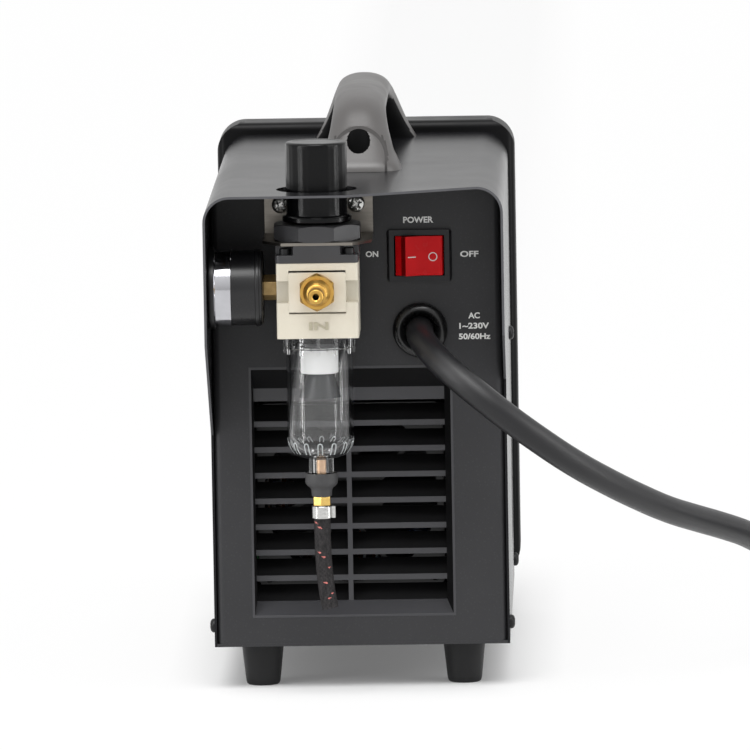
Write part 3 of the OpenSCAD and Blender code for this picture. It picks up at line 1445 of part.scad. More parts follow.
cover();
rear_panel();
base_plate();
rear_grille();
front_bezel();
front_panel();
foot_rear_left();
foot_rear_right();
foot_front_left();
foot_front_right();
handle();
handle_screws();
cover_screws();
cross_brace();
switch_housing();
power_rocker();
cord_bushing();
power_cord();
cord_coil();
cord_tie();
power_plug();
regulator_bracket();
bracket_screws();
ring_nut();
regulator_bonnet();
regulator_body();
adjust_spindle();
pressure_knob();
inlet_nipple();
outlet_fitting();
gauge_port();
gauge_case();
gauge_dial();
gauge_lens();
gauge_needle();
filter_bowl();
filter_element();
filter_baffle();
drain_cup();
drain_stem();
drain_nipple();
ear_clamp();
drain_hose();
fan_frame();
fan_rotor();
power_board();
heatsink();
transformer();
capacitors();
solenoid_valve();
air_tube();
current_knob();
display_window();
status_lamps();
mode_button();
torch_connector();
trigger_socket();
work_socket();
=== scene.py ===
"""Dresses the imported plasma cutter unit: finishes, fittings, cords, words and studio."""

import logging
import math
from contextlib import contextmanager
from dataclasses import dataclass
from enum import Enum
from typing import Any, Callable, ClassVar, Iterator, Sequence

import bmesh
import bpy
from mathutils import Matrix, Vector


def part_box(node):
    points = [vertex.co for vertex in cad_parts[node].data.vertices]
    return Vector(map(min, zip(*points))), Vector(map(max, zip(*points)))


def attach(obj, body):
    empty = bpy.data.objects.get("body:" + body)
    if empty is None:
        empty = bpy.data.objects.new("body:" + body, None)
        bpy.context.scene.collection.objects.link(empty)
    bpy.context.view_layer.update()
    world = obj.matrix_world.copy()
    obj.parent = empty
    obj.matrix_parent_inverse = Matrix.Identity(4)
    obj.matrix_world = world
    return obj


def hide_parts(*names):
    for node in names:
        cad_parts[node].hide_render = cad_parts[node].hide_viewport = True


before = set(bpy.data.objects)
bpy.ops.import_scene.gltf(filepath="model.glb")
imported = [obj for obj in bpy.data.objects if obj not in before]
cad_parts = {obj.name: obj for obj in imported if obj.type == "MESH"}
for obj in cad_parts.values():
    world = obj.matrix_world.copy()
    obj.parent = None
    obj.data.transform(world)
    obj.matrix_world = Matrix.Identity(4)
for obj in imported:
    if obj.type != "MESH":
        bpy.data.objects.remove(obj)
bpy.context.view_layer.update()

log = logging.getLogger("plasma_cutter")

MM = 0.001
PANEL_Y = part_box("rear_panel")[0].y
WELD = 2e-6
Profile = Sequence[tuple[float, float]]
Point = tuple[float, float, float]
Piece = bpy.types.Object
Tree = bpy.types.NodeTree
Span = tuple[float, float]
FORWARD = Vector((0, 1, 0))


class Axis(Enum):
    """Direction that a turned or drawn piece points in."""

    UP = (0.0, 0.0, 1.0)
    DOWN = (0.0, 0.0, -1.0)
    REAR = (0.0, -1.0, 0.0)
    FRONT = (0.0, 1.0, 0.0)
    LEFT = (-1.0, 0.0, 0.0)
    RIGHT = (1.0, 0.0, 0.0)

    @property
    def back(self) -> "Axis":
        """The direction opposite to this one."""
        return Axis(tuple(0.0 - part for part in self.value))


class Sides(Enum):
    """How finely a round piece is divided."""

    SCREW = 28
    SMALL = 48
    ROUND = 72
    FINE = 120


def place(x: float, y: float, z: float) -> Vector:
    """Turns millimetres from the rear panel's face into a point of the frame.

    Args:
        x: Distance to the right of the middle.
        y: Distance in front of the rear panel's outer face.
        z: Height over the floor.

    Returns:
        The point in metres.
    """
    return Vector((x * MM, PANEL_Y + y * MM, z * MM))


def linear(colour: str, alpha: float = 1.0) -> tuple[float, float, float, float]:
    """Turns an sRGB hex colour into linear light.

    Args:
        colour: Colour as "#rrggbb".
        alpha: Fourth value of the result.

    Returns:
        Red, green, blue and alpha.
    """
    levels = [int(colour[i : i + 2], 16) / 255 for i in (1, 3, 5)]
    light = [c / 12.92 if c <= 0.04045 else ((c + 0.055) / 1.055) ** 2.4 for c in levels]
    return (light[0], light[1], light[2], alpha)


def through(known: Sequence[Sequence[float]], steps: int) -> list[list[float]]:
    """Joins rows of numbers by smooth curves that pass through every row.

    Args:
        known: The rows, in order.
        steps: Parts that each gap is divided into.

    Returns:
        The rows with the new ones between them.
    """
    result, last = [], len(known) - 1
    for i in range(last):
        near = [known[max(i - 1, 0)], known[i], known[i + 1], known[min(i + 2, last)]]
        for t in (step / steps for step in range(steps)):
            result.append(
                [
                    0.5 * (2 * b + (c - a) * t + (2 * a - 5 * b + 4 * c - d) * t * t
                           + (3 * b - a - 3 * c + d) * t ** 3)
                    for a, b, c, d in zip(*near)
                ]
            )
    return result + [list(known[-1])]


# ---- Finishes -------------------------------------------------------------------------------


WHITE = (1.0, 1.0, 1.0, 1.0)
WAVE_BANDS = 20  # bands that a wave texture lays in one unit at scale 1


def feed(tree: Tree, node: bpy.types.Node, inputs: dict[Any, Any]) -> None:
    """Sets or links the inputs of a node.

    Args:
        tree: Node tree that the node is in.
        node: The node.
        inputs: Values, or outputs of other nodes, by the name or number of the input, and
            values of attributes by their name.
    """
    for key, value in inputs.items():
        if isinstance(value, bpy.types.NodeSocket):
            tree.links.new(value, node.inputs[key])
        elif isinstance(key, str) and key not in node.inputs:
            setattr(node, key, value)
        else:
            node.inputs[key].default_value = value


def add_node(tree: Tree, kind: str, **inputs: Any) -> Any:
    """Adds a node, named without its "ShaderNode", and returns its outputs.

    Args:
        tree: Node tree that gets it.
        kind: Blender's name of the node's type, after "ShaderNode".
        inputs: What feed takes, with "_" for a space and "at_0" for an input's number.

    Returns:
        The outputs of the new node.
    """
    made = tree.nodes.new(f"ShaderNode{kind}")
    named: dict[Any, Any] = {}
    for key, value in inputs.items():
        if key.startswith("at_"):
            named[int(key[3:])] = value
        else:
            named[key if hasattr(made, key) else key.replace("_", " ")] = value
    feed(tree, made, named)
    return made.outputs


def noise(tree: Tree, where: Any, size_mm: float, detail: float, rough: float = 0.5) -> Any:
    """Returns soft noise whose patches have a size in mm."""
    scale = 1 / (size_mm * MM)
    made = add_node(tree, "TexNoise", Scale=scale, Detail=detail, Roughness=rough, Vector=where)
    return made["Fac"]


def ramp(tree: Tree, value: Any, source: Span, target: Span) -> Any:
    """Returns a value carried over from one span to another."""
    names = ("From_Min", "From_Max", "To_Min", "To_Max")
    return add_node(tree, "MapRange", Value=value, **dict(zip(names, source + target)))["Result"]


def blend(tree: Tree, share: Any, base: Any, over: Any) -> Any:
    """Returns a colour between two others, by a share."""
    return add_node(tree, "Mix", data_type="RGBA", at_0=share, at_6=base, at_7=over)[2]


def bump(tree: Tree, height: Any, depth_mm: float) -> Any:
    """Returns the surface normal of a relief with a depth in mm."""
    return add_node(tree, "Bump", Distance=depth_mm * MM, Height=height)["Normal"]


def reckon(tree: Tree, operation: str, *values: Any) -> Any:
    """Returns what a sum makes of one or two values."""
    rows = {f"at_{number}": value for number, value in enumerate(values)}
    return add_node(tree, "Math", operation=operation, **rows)[0]


@dataclass(frozen=True)
class Finish:
    """A surface: its tones, gloss, and the grain that its making leaves.

    The grain is given by its size and its depth. Sizes are real ones in mm.
    """

    title: str
    colour: str
    shade: str
    roughness: float = 0.5
    spread: float = 0.06
    metallic: float = 0.0
    specular: float = 0.5
    ior: float = 1.5
    coat: float = 0.0
    coat_roughness: float = 0.1
    transmission: float = 0.0
    patch_mm: float = 45.0
    patch_share: float = 0.5
    grain: Span = (0.9, 0.012)
    stretch: Point = (1.0, 1.0, 1.0)
    space: str = "Object"

    TONE_SPAN: ClassVar[Span] = (0.35, 0.7)
    GLOSS_SPAN: ClassVar[Span] = (0.3, 0.7)

    def material(self) -> bpy.types.Material:
        """Returns the finish's material, made once."""
        known = bpy.data.materials.get(self.title)
        if known:
            return known
        made = bpy.data.materials.new(self.title)
        made.use_nodes = True
        tree = made.node_tree
        where = self.coordinates(tree)
        patches = noise(tree, where, self.patch_mm, 4.0, 0.6)
        share = ramp(tree, patches, self.TONE_SPAN, (0.0, self.patch_share))
        tone = blend(tree, share, linear(self.colour), linear(self.shade))
        gloss = (self.roughness - self.spread, self.roughness + self.spread)
        feed(
            tree,
            tree.nodes["Principled BSDF"],
            {
                "Metallic": self.metallic,
                "Specular IOR Level": self.specular,
                "IOR": self.ior,
                "Coat Weight": self.coat,
                "Coat Roughness": self.coat_roughness,
                "Transmission Weight": self.transmission,
                "Base Color": self.tint(tree, where, tone),
                "Roughness": ramp(tree, patches, self.GLOSS_SPAN, gloss),
                "Normal": self.relief(tree, where),
            },
        )
        made.diffuse_color = linear(self.colour)
        return made

    def coordinates(self, tree: Tree) -> Any:
        """Returns the pattern's coordinates, stretched along the grain."""
        where = add_node(tree, "TexCoord")[self.space]
        return add_node(tree, "Mapping", Scale=self.stretch, Vector=where)["Vector"]

    def tint(self, tree: Tree, where: Any, tone: Any) -> Any:
        """Returns the colour; a finish with more in its colour lays it over the tone."""
        return tone

    def relief(self, tree: Tree, where: Any) -> Any:
        """Returns the surface normal with the grain in it."""
        return bump(tree, noise(tree, where, self.grain[0], 2.0), self.grain[1])


@dataclass(frozen=True)
class Speckled(Finish):
    """A finish with fine specks, such as dust, filler or sintered beads."""

    speck: str = "#808080"
    speck_mm: float = 1.2
    speck_share: float = 0.2

    SPECK_SPAN: ClassVar[Span] = (0.28, 0.12)

    def tint(self, tree: Tree, where: Any, tone: Any) -> Any:
        """Returns the tone with specks laid over it."""
        cells = add_node(tree, "TexVoronoi", Scale=1 / (self.speck_mm * MM), Vector=where)
        share = ramp(tree, cells["Distance"], self.SPECK_SPAN, (0.0, self.speck_share))
        return blend(tree, share, tone, linear(self.speck))


@dataclass(frozen=True)
class Turned(Finish):
    """Lathe-turned metal: fine tool rings round the given axis."""

    ring_mm: float = 0.35
    rings_along: Axis = Axis.REAR

    def relief(self, tree: Tree, where: Any) -> Any:
        """Returns the surface normal with the tool rings in it."""
        rings = add_node(
            tree,
            "TexWave",
            bands_direction="XYZ"[[abs(part) for part in self.rings_along.value].index(1.0)],
            Scale=1 / (self.ring_mm * MM) / WAVE_BANDS,
            Distortion=0.6,
            Detail=1.0,
            Vector=where,
        )
        return bump(tree, rings["Fac"], self.grain[1])


@dataclass(frozen=True)
class Clear(Finish):
    """Clear moulding: light goes through, with faint flow lines on its gloss."""

    transmission: float = 1.0


@dataclass(frozen=True)
class Sheath(Finish):
    """Extruded cord sheath: long streaks that follow the cord's own length."""

    space: str = "UV"


# Polyester powder coat on steel: glossy charcoal with a faint orange peel and soft reflections
POWDER_COAT = Speckled(
    "charcoal powder coat", "#1b1b1d", "#202022", roughness=0.22, spread=0.03, specular=0.12,
    grain=(1.4, 0.008), speck="#3a3a3c", speck_mm=2.4, speck_share=0.08, patch_mm=90,
)
# Enamelled steel drum of the gauge: satin black
GAUGE_STEEL = Finish(
    "satin black enamel", "#101012", "#161618", roughness=0.3, spread=0.04, grain=(1.5, 0.006),
    patch_mm=15,
)
# Chromed steel cover ring of the gauge: a mirror with soft edges
CHROME = Finish(
    "chromed steel ring", "#c6c6ca", "#b4b4b8", roughness=0.1, spread=0.03, metallic=1.0,
    grain=(3, 0.004), patch_mm=10,
)
# The same coat in a finer, matter texture, baked on the rear panel and the base
PANEL_COAT = Speckled(
    "fine texture powder coat", "#29292b", "#303032", roughness=0.48, specular=0.36,
    grain=(0.7, 0.03), speck="#505052", speck_mm=1.8, speck_share=0.12, patch_mm=60,
)
# Cut sheet edge where the coat is thin, lightened as a painted highlight along the edge
SHEET_EDGE_HIGHLIGHT = Finish(
    "thin coat on a cut edge", "#5c5c5f", "#4e4e51", roughness=0.34, metallic=0.6,
    grain=(0.5, 0.012), patch_mm=9,
)
# Moulded ABS with a spark-eroded texture: black, low gloss
MOULDED_ABS = Finish(
    "textured black ABS", "#323234", "#38383a", roughness=0.4, specular=0.45, grain=(0.45, 0.02),
    patch_mm=30,
)
# The front bezel is a deeper black, which takes little of the room's light
BEZEL_ABS = Finish(
    "deep black ABS", "#0c0c0d", "#111112", roughness=0.36, specular=0.14, grain=(0.6, 0.012),
    patch_mm=30,
)
# The grille's ABS is a little greyer, so that its bars stand out from the slots
GRILLE_ABS = Finish(
    "satin grey-black ABS", "#38383b", "#303033", roughness=0.42, grain=(0.5, 0.02), patch_mm=35
)
# Rough near-black ABS: painted shade on the grille's blades, funnel roof and side walls, and inside
# the handle
SHADE_ABS = Finish(
    "rough black ABS painted as shade", "#0c0c0d", "#121213", roughness=0.7, specular=0.12, grain=(0.6, 0.03),
    patch_mm=20,
)
# Open-cell foam of a dust screen, near-black so that it also stands in as painted shade for the
# inside of the case
SHADE_FOAM = Finish(
    "black foam painted as shade", "#0b0b0b", "#151515", roughness=0.95, specular=0.05, grain=(0.8, 0.4),
    patch_mm=6,
)
# Glass-filled nylon with a polished mould: warm grey, with a strong sheen and faint flow marks
HANDLE_NYLON = Speckled(
    "satin grey nylon", "#484544", "#403e3c", roughness=0.38, specular=0.9, grain=(0.8, 0.01),
    speck="#6a6766", speck_mm=1.6, speck_share=0.1, patch_mm=35,
)
# The slope round the handle's raised arch, where the nylon lies in its own shade
HANDLE_GROOVE = Finish(
    "shaded grey nylon", "#353231", "#2c2a29", roughness=0.45, specular=0.5, grain=(0.8, 0.012),
    patch_mm=12,
)
# Glossy polished black moulding of the knob
POLISHED_ABS = Finish(
    "polished black ABS", "#050506", "#09090a", roughness=0.22, spread=0.03, specular=0.2,
    grain=(2.5, 0.006), patch_mm=12,
)
# Moulded black rubber: matt with a waxy bloom
BLACK_RUBBER = Finish(
    "black moulded rubber", "#141415", "#1c1c1d", roughness=0.5, specular=0.3, grain=(0.6, 0.02),
    patch_mm=14,
)
# Bushing of hard nylon with a rubbed gloss
BUSHING_NYLON = Finish(
    "rubbed black nylon", "#101011", "#191919", roughness=0.26, spread=0.05, grain=(1.0, 0.01),
    patch_mm=10,
)
# Extruded neoprene: dark grey, waxy, with streaks along its length
NEOPRENE = Sheath(
    "extruded neoprene sheath", "#1a1a1c", "#151517", roughness=0.34, spread=0.04, specular=0.42,
    grain=(9.0, 0.05), patch_mm=60, stretch=(0.05, 6.0, 1.0),
)
# Bright zinc plate on sheet steel: rolled grain, slightly warm
ZINC_PLATE = Finish(
    "zinc-plated sheet steel", "#908b84", "#7b766f", roughness=0.38, metallic=1.0,
    grain=(0.6, 0.008), patch_mm=12, stretch=(1.0, 1.0, 6.0),
)
# Nickel-plated pan head: bright with soft scratches
NICKEL = Finish(
    "nickel-plated steel", "#dededb", "#c4c4c1", roughness=0.3, metallic=1.0, grain=(0.5, 0.01),
    patch_mm=3,
)
# Chemically blackened steel: dark with a dull metal sheen
BLACK_STEEL = Finish(
    "blackened steel", "#262627", "#1b1b1c", roughness=0.4, metallic=0.6, grain=(0.4, 0.012),
    patch_mm=4,
)
# Bead-blasted zinc casting in pale enamel: warm off-white, softly grained
CAST_ENAMEL = Speckled(
    "pale enamelled casting", "#cdc7b8", "#c2bba9", roughness=0.42, grain=(0.5, 0.03),
    speck="#a8a292", speck_mm=0.9, speck_share=0.14, patch_mm=16,
)
# Turned brass: golden, with tool rings and a slightly darker tarnish in patches
BRASS_REAR = Turned(
    "turned brass fitting", "#d3a858", "#b48a45", roughness=0.36, metallic=1.0, ring_mm=0.4,
    grain=(0.9, 0.006), patch_mm=6,
)
# Older brass of the gauge's port, dulled by handling
DULL_BRASS = Finish(
    "dulled brass", "#b59a6c", "#9c8158", roughness=0.5, metallic=1.0, grain=(0.6, 0.01),
    patch_mm=3,
)
# Inside of a drilled bore: painted shade, dark where little light reaches
BORE_SHADE = Finish(
    "bore painted in shade", "#1a150c", "#120f09", roughness=0.5, grain=(0.5, 0.012), patch_mm=2
)
# The same brass turned about an upright axis, paler and fresher on the drain
BRASS_UPRIGHT = Turned(
    "turned brass nut", "#e2c071", "#c9a258", roughness=0.3, metallic=1.0, ring_mm=0.4,
    grain=(0.9, 0.008), rings_along=Axis.UP, patch_mm=3,
)
# Copper-coloured stem seen through the bowl's neck
PALE_COPPER = Turned(
    "pale copper stem", "#d6b596", "#b98f6d", roughness=0.34, metallic=1.0, ring_mm=0.4,
    grain=(0.9, 0.008), rings_along=Axis.UP, patch_mm=2,
)
# Moulded nylon of the drain's cup: matt dark grey
CUP_NYLON = Finish(
    "matt grey-black nylon", "#3b3b3c", "#323233", roughness=0.55, grain=(0.5, 0.015), patch_mm=6
)
# Cast surface of the raised port mark, painted darker than the body as shade so that its letters
# show
CAST_MARK_SHADE = Finish(
    "cast lettering painted in shade", "#aea893", "#9d9783", roughness=0.5, grain=(0.5, 0.012), patch_mm=2
)
# Stainless strip rolled bright
BRIGHT_STEEL = Finish(
    "bright stainless strip", "#d2d2d0", "#b4b4b2", roughness=0.22, metallic=1.0,
    grain=(0.4, 0.006), patch_mm=4, stretch=(1.0, 1.0, 8.0),
)
# Clear polycarbonate: glossy with faint flow; its thin wall bends light little, so a low IOR
POLYCARBONATE = Clear(
    "clear polycarbonate", "#fdfdfd", "#fafbfb", roughness=0.015, spread=0.005, ior=1.42,
    grain=(12, 0.015), patch_mm=14,
)
# Frosted ribs moulded in the bowl's foot
FROSTED = Finish(
    "frosted moulded ribs", "#dde1e2", "#c9cdce", roughness=0.35, grain=(0.8, 0.012), patch_mm=3
)
# Acrylic lens: clearer and flatter
ACRYLIC = Clear(
    "clear acrylic lens", "#f7f9f9", "#f2f5f5", roughness=0.03, spread=0.01, ior=1.49,
    grain=(10, 0.01), patch_mm=15,
)
# Sintered polyethylene beads: white, matt and faintly pebbled
SINTERED_WHITE = Speckled(
    "sintered white polyethylene", "#ffffff", "#fafaf9", roughness=0.7, grain=(0.35, 0.05),
    speck="#e8e8e5", speck_mm=0.5, speck_share=0.25, patch_mm=5,
)
# Acetal moulding: dark grey, waxy
GREY_ACETAL = Finish(
    "dark grey acetal", "#37393b", "#2c2e30", roughness=0.4, grain=(0.6, 0.01), patch_mm=8
)
# Printed dial: off-white, eggshell
PRINTED_DIAL = Finish(
    "eggshell dial enamel", "#f1efe8", "#e9e6dc", roughness=0.5, grain=(0.3, 0.004), patch_mm=12
)
# Screen ink: thin and slightly broken by the texture under it
WHITE_INK = Finish(
    "white screen ink", "#e4e4e2", "#cfcfcd", roughness=0.55, grain=(0.5, 0.01), patch_mm=3
)
# Black ink of the dial
BLACK_INK = Finish(
    "black dial ink", "#161616", "#202020", roughness=0.6, grain=(0.4, 0.004), patch_mm=3
)
# Polyester yarn dyed black: soft, with a sheen from its fibres
BLACK_YARN = Finish(
    "black polyester yarn", "#2c292a", "#0d0d0e", roughness=0.6, specular=0.3, grain=(0.25, 0.08),
    patch_mm=1.1, patch_share=1.0, stretch=(1.0, 1.0, 0.4),
)
# The tracer yarn of the braid
RED_YARN = Finish(
    "red tracer yarn", "#c4736c", "#a8504a", roughness=0.6, specular=0.35, grain=(0.25, 0.05),
    patch_mm=1.5, stretch=(1.0, 1.0, 0.3),
)
# Tinted polycarbonate rocker: glossy clear red over a red body
RED_ROCKER = Finish(
    "glossy red polycarbonate", "#d4141a", "#c01016", roughness=0.25, spread=0.04, specular=0.12,
    grain=(4, 0.006), patch_mm=9,
)
# The rocker's left-facing flank, painted a darker red as shade
RED_FLANK_SHADE = Finish(
    "deep red polycarbonate flank", "#82090d", "#6c070a", roughness=0.3, specular=0.1,
    grain=(4, 0.006), patch_mm=9,
)
# Moulded nylon frame of the switch: grey-black, close to the panel's tone
SWITCH_NYLON = Finish(
    "grey-black switch nylon", "#222224", "#29292b", roughness=0.42, specular=0.3,
    grain=(0.5, 0.015), patch_mm=14,
)
# Solder-masked glass epoxy board
BOARD = Speckled(
    "green solder mask", "#1f6b3d", "#185a32", roughness=0.35, grain=(1.0, 0.012), speck="#b9b27a",
    speck_mm=5.5, speck_share=0.8, patch_mm=12,
)
# Extruded aluminium, drawn along its fins
EXTRUDED = Finish(
    "extruded aluminium", "#b4b7ba", "#9fa2a5", roughness=0.35, metallic=1.0, grain=(0.5, 0.01),
    patch_mm=10, stretch=(1.0, 0.08, 1.0),
)
# Enamelled copper wire, wound in close turns
WOUND_COPPER = Turned(
    "wound copper wire", "#a8642c", "#7d4a22", roughness=0.4, metallic=0.8, ring_mm=1.4,
    grain=(0.9, 0.25), rings_along=Axis.UP, patch_mm=8,
)
# Shrunk PVC sleeve on the capacitors
BLUE_SLEEVE = Finish(
    "shrunk blue sleeve", "#24406e", "#1d345b", roughness=0.3, grain=(3, 0.03), patch_mm=10
)
# Polyurethane air tube
BLUE_TUBE = Finish(
    "blue polyurethane tube", "#2a63a6", "#245691", roughness=0.3, grain=(4, 0.02), patch_mm=15
)
# Lamp lens of tinted polystyrene
LAMP_LENS = Finish(
    "tinted lamp lens", "#a9cf7c", "#93bb66", roughness=0.18, coat=0.6, grain=(2, 0.012),
    patch_mm=3,
)
# Smoked acrylic over the display
SMOKED_WINDOW = Finish(
    "smoked acrylic", "#0c0d10", "#101216", roughness=0.1, spread=0.03, coat=0.8, grain=(8, 0.01),
    patch_mm=20,
)
# Woven hook-and-loop strap
STRAP_WEAVE = Finish(
    "woven loop strap", "#232326", "#313135", roughness=0.8, specular=0.2, grain=(0.6, 0.2),
    patch_mm=1.2,
)
# Matt black fan plastic
FAN_PLASTIC = Finish(
    "matt black fan plastic", "#161617", "#1f1f20", roughness=0.55, grain=(0.6, 0.02), patch_mm=16
)


# ---- Workbench ------------------------------------------------------------------------------

NUT_SIDES = 6
EDGE_DEG = 38.0  # edges of a CAD node that are sharper than this are rounded
FLAT_DEG = 0.6  # faces closer to level with each other than this are merged
SCREW_TIP = 0.6  # how much a shank narrows at its end, in mm
PAN_DOME: Profile = ((0, 0), (1, 0), (1, 0.35), (0.93, 0.62), (0.72, 0.86), (0.4, 0.98), (0, 1))
RECESS_WIDE, RECESS_SLOT, RECESS_DEEP = 0.5, 0.22, 0.35


class Bench:
    """Modelling moves that the sub-assemblies share."""

    @staticmethod
    def hold(piece: Piece) -> None:
        """Leaves only this piece selected and active."""
        bpy.ops.object.select_all(action="DESELECT")
        piece.select_set(True)
        bpy.context.view_layer.objects.active = piece

    @staticmethod
    @contextmanager
    def edit(piece: Piece) -> Iterator[None]:
        """Holds the piece in edit mode with everything on it selected."""
        Bench.hold(piece)
        bpy.ops.object.mode_set(mode="EDIT")
        bpy.ops.mesh.select_all(action="SELECT")
        yield
        bpy.ops.object.mode_set(mode="OBJECT")

    @staticmethod
    def pick(piece: Piece, test: Callable[[Vector], bool]) -> None:
        """Selects the vertices of a piece in edit mode that pass a test of their place."""
        mesh = bmesh.from_edit_mesh(piece.data)
        for vertex in mesh.verts:
            vertex.select = test(vertex.co)
        mesh.select_flush_mode()
        bmesh.update_edit_mesh(piece.data)

    @staticmethod
    def new(name: str, points: Sequence[Sequence[float]], edges: list, faces: list) -> Piece:
        """Adds a mesh object made of points, edges and faces."""
        mesh = bpy.data.meshes.new(name)
        mesh.from_pydata([tuple(p) for p in points], edges, faces)
        mesh.update()
        piece = bpy.data.objects.new(name, mesh)
        bpy.context.scene.collection.objects.link(piece)
        return piece

    @staticmethod
    def close(piece: Piece, weld: bool = True) -> None:
        """Merges a piece's doubled points, unless told not to, and turns its faces outwards."""
        with Bench.edit(piece):
            if weld:
                bpy.ops.mesh.remove_doubles(threshold=WELD)
            bpy.ops.mesh.normals_make_consistent(inside=False)

    @staticmethod
    def put(piece: Piece, at: Vector, turn: Matrix) -> None:
        """Turns a piece and moves it to its place, in its mesh."""
        piece.data.transform(Matrix.Translation(at) @ turn)

    @staticmethod
    def settle(piece: Piece, at: Vector, axis: Axis = Axis.UP, spin: float = 0.0) -> None:
        """Turns a piece's +Z to an axis and moves it to its place, in its mesh."""
        turn = Vector((0, 0, 1)).rotation_difference(Vector(axis.value)).to_matrix().to_4x4()
        if axis is Axis.DOWN:
            turn = Matrix.Rotation(math.pi, 4, "X")
        piece.data.transform(Matrix.Translation(at) @ turn @ Matrix.Rotation(spin, 4, "Z"))

    @staticmethod
    def modify(piece: Piece, kind: str, **settings: Any) -> None:
        """Adds a modifier with its settings and applies it."""
        Bench.hold(piece)
        modifier = piece.modifiers.new(kind.title(), kind)
        for key, value in settings.items():
            setattr(modifier, key, value)
        bpy.ops.object.modifier_apply(modifier=modifier.name)

    @staticmethod
    def smooth(piece: Piece, angle: float = 34.0, weighted: bool = True) -> None:
        """Shades a piece smooth below an angle, with flat faces kept flat."""
        Bench.hold(piece)
        bpy.ops.object.shade_smooth_by_angle(angle=math.radians(angle))
        if weighted:
            Bench.modify(piece, "WEIGHTED_NORMAL", keep_sharp=True, weight=60)

    @staticmethod
    def bevel(piece: Piece, width: float, angle: float = 40.0, segments: int = 2) -> None:
        """Rounds the edges of a piece that are sharper than an angle, by a width in mm."""
        Bench.modify(
            piece,
            "BEVEL",
            width=width * MM,
            segments=segments,
            limit_method="ANGLE",
            angle_limit=math.radians(angle),
            use_clamp_overlap=True,
        )

    @staticmethod
    def join(name: str, pieces: Sequence[Piece]) -> Piece:
        """Joins pieces into the first one."""
        bpy.ops.object.select_all(action="DESELECT")
        for piece in pieces:
            piece.select_set(True)
        bpy.context.view_layer.objects.active = pieces[0]
        if len(pieces) > 1:
            bpy.ops.object.join()
        pieces[0].name = name
        pieces[0].data.name = name
        return pieces[0]

    @staticmethod
    def copy(piece: Piece) -> Piece:
        """Returns a copy of a piece with its own mesh."""
        made = piece.copy()
        made.data = piece.data.copy()
        bpy.context.scene.collection.objects.link(made)
        return made

    @staticmethod
    def cut(piece: Piece, cutter: Piece, operation: str = "DIFFERENCE") -> None:
        """Cuts a piece with another one, which is used up."""
        Bench.modify(piece, "BOOLEAN", object=cutter, operation=operation, solver="EXACT")
        bpy.data.objects.remove(cutter)

    @staticmethod
    def turned(
        name: str,
        profile: Profile,
        at: Vector,
        axis: Axis = Axis.UP,
        sides: Sides = Sides.ROUND,
        closed: bool = False,
        angle: float = 34.0,
    ) -> Piece:
        """Spins a profile round an axis, as on a lathe.

        Args:
            name: Name of the piece.
            profile: Radius and height of each point of the profile, in mm.
            at: Place of the profile's zero height.
            axis: Direction of growing height.
            sides: How finely it is divided.
            closed: Whether the last point joins the first, as for a ring.
            angle: Sharpest edge that is shaded smooth, in degrees.

        Returns:
            The turned piece, in place.
        """
        count = len(profile)
        links = [(i, i + 1) for i in range(count - 1)] + ([(count - 1, 0)] if closed else [])
        piece = Bench.new(name, [(r * MM, 0, h * MM) for r, h in profile], links, [])
        with Bench.edit(piece):
            bpy.ops.mesh.spin(
                steps=sides.value, angle=2 * math.pi, center=(0, 0, 0), axis=(0, 0, 1)
            )
        Bench.close(piece)
        Bench.settle(piece, at, axis)
        Bench.smooth(piece, angle)
        return piece

    @staticmethod
    def prism(name: str, flats: float, height: float, at: Vector, axis: Axis, edge: float) -> Piece:
        """Makes a bevelled nut blank of a width across its flats, in mm."""
        radius = flats / 2 / math.cos(math.pi / NUT_SIDES)
        bpy.ops.object.select_all(action="DESELECT")
        bpy.ops.mesh.primitive_cylinder_add(
            vertices=NUT_SIDES, radius=radius * MM, depth=height * MM, location=(0, 0, 0)
        )
        piece = bpy.context.object
        piece.name = name
        piece.data.transform(Matrix.Translation((0, 0, height / 2 * MM)))
        Bench.bevel(piece, edge)
        Bench.settle(piece, at, axis)
        Bench.smooth(piece)
        return piece

    @staticmethod
    def block(name: str, low: Vector, high: Vector, edge: float = 0.0) -> Piece:
        """Makes a box between two corners, with its edges bevelled by a width in mm."""
        bpy.ops.object.select_all(action="DESELECT")
        bpy.ops.mesh.primitive_cube_add(size=1, location=(0, 0, 0))
        piece = bpy.context.object
        piece.name = name
        size = high - low
        piece.data.transform(
            Matrix.Translation((low + high) / 2) @ Matrix.Diagonal((size.x, size.y, size.z, 1))
        )
        if edge:
            Bench.bevel(piece, edge)
            Bench.smooth(piece)
        return piece

    @staticmethod
    def dressed(
        node: str,
        finish: Finish,
        edge: float,
        angle: float = EDGE_DEG,
        body: str = "case",
        segments: int = 2,
    ) -> Piece:
        """Copies a CAD node, merges it and rounds its edges.

        Args:
            node: Name of the CAD node, which the copy stands for.
            finish: Its finish.
            edge: Width of the rounding in mm.
            angle: Edges sharper than this are rounded, in degrees.
            body: Body that it rides on.
            segments: Facets across each rounding.

        Returns:
            The copy with its edges softened.
        """
        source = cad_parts[node]
        piece = bpy.data.objects.new(f"{node}_finished", source.data.copy())
        bpy.context.scene.collection.objects.link(piece)
        piece.data.materials.clear()
        Bench.hold(piece)
        bpy.ops.mesh.customdata_custom_splitnormals_clear()
        with Bench.edit(piece):
            bpy.ops.mesh.remove_doubles(threshold=WELD)
            bpy.ops.mesh.dissolve_limited(angle_limit=math.radians(FLAT_DEG))
        if edge:
            Bench.bevel(piece, edge, angle, segments)
        Bench.smooth(piece)
        return Bench.fit(piece, finish, body, node)

    @staticmethod
    def dress(*rows: tuple[Any, ...]) -> None:
        """Dresses CAD nodes, each row holding the arguments of dressed."""
        for row in rows:
            Bench.dressed(*row)

    @staticmethod
    def fit(piece: Piece, finish: Finish, body: str, *nodes: str, slot: str = "") -> Piece:
        """Gives a piece its finish, its body, and the nodes that it stands for."""
        piece.data.materials.append(finish.material())
        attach(piece, body)
        if nodes:
            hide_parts(*nodes)
        log.info("%s on %s, for %s", piece.name, body, ", ".join(nodes) or "detail")
        return piece

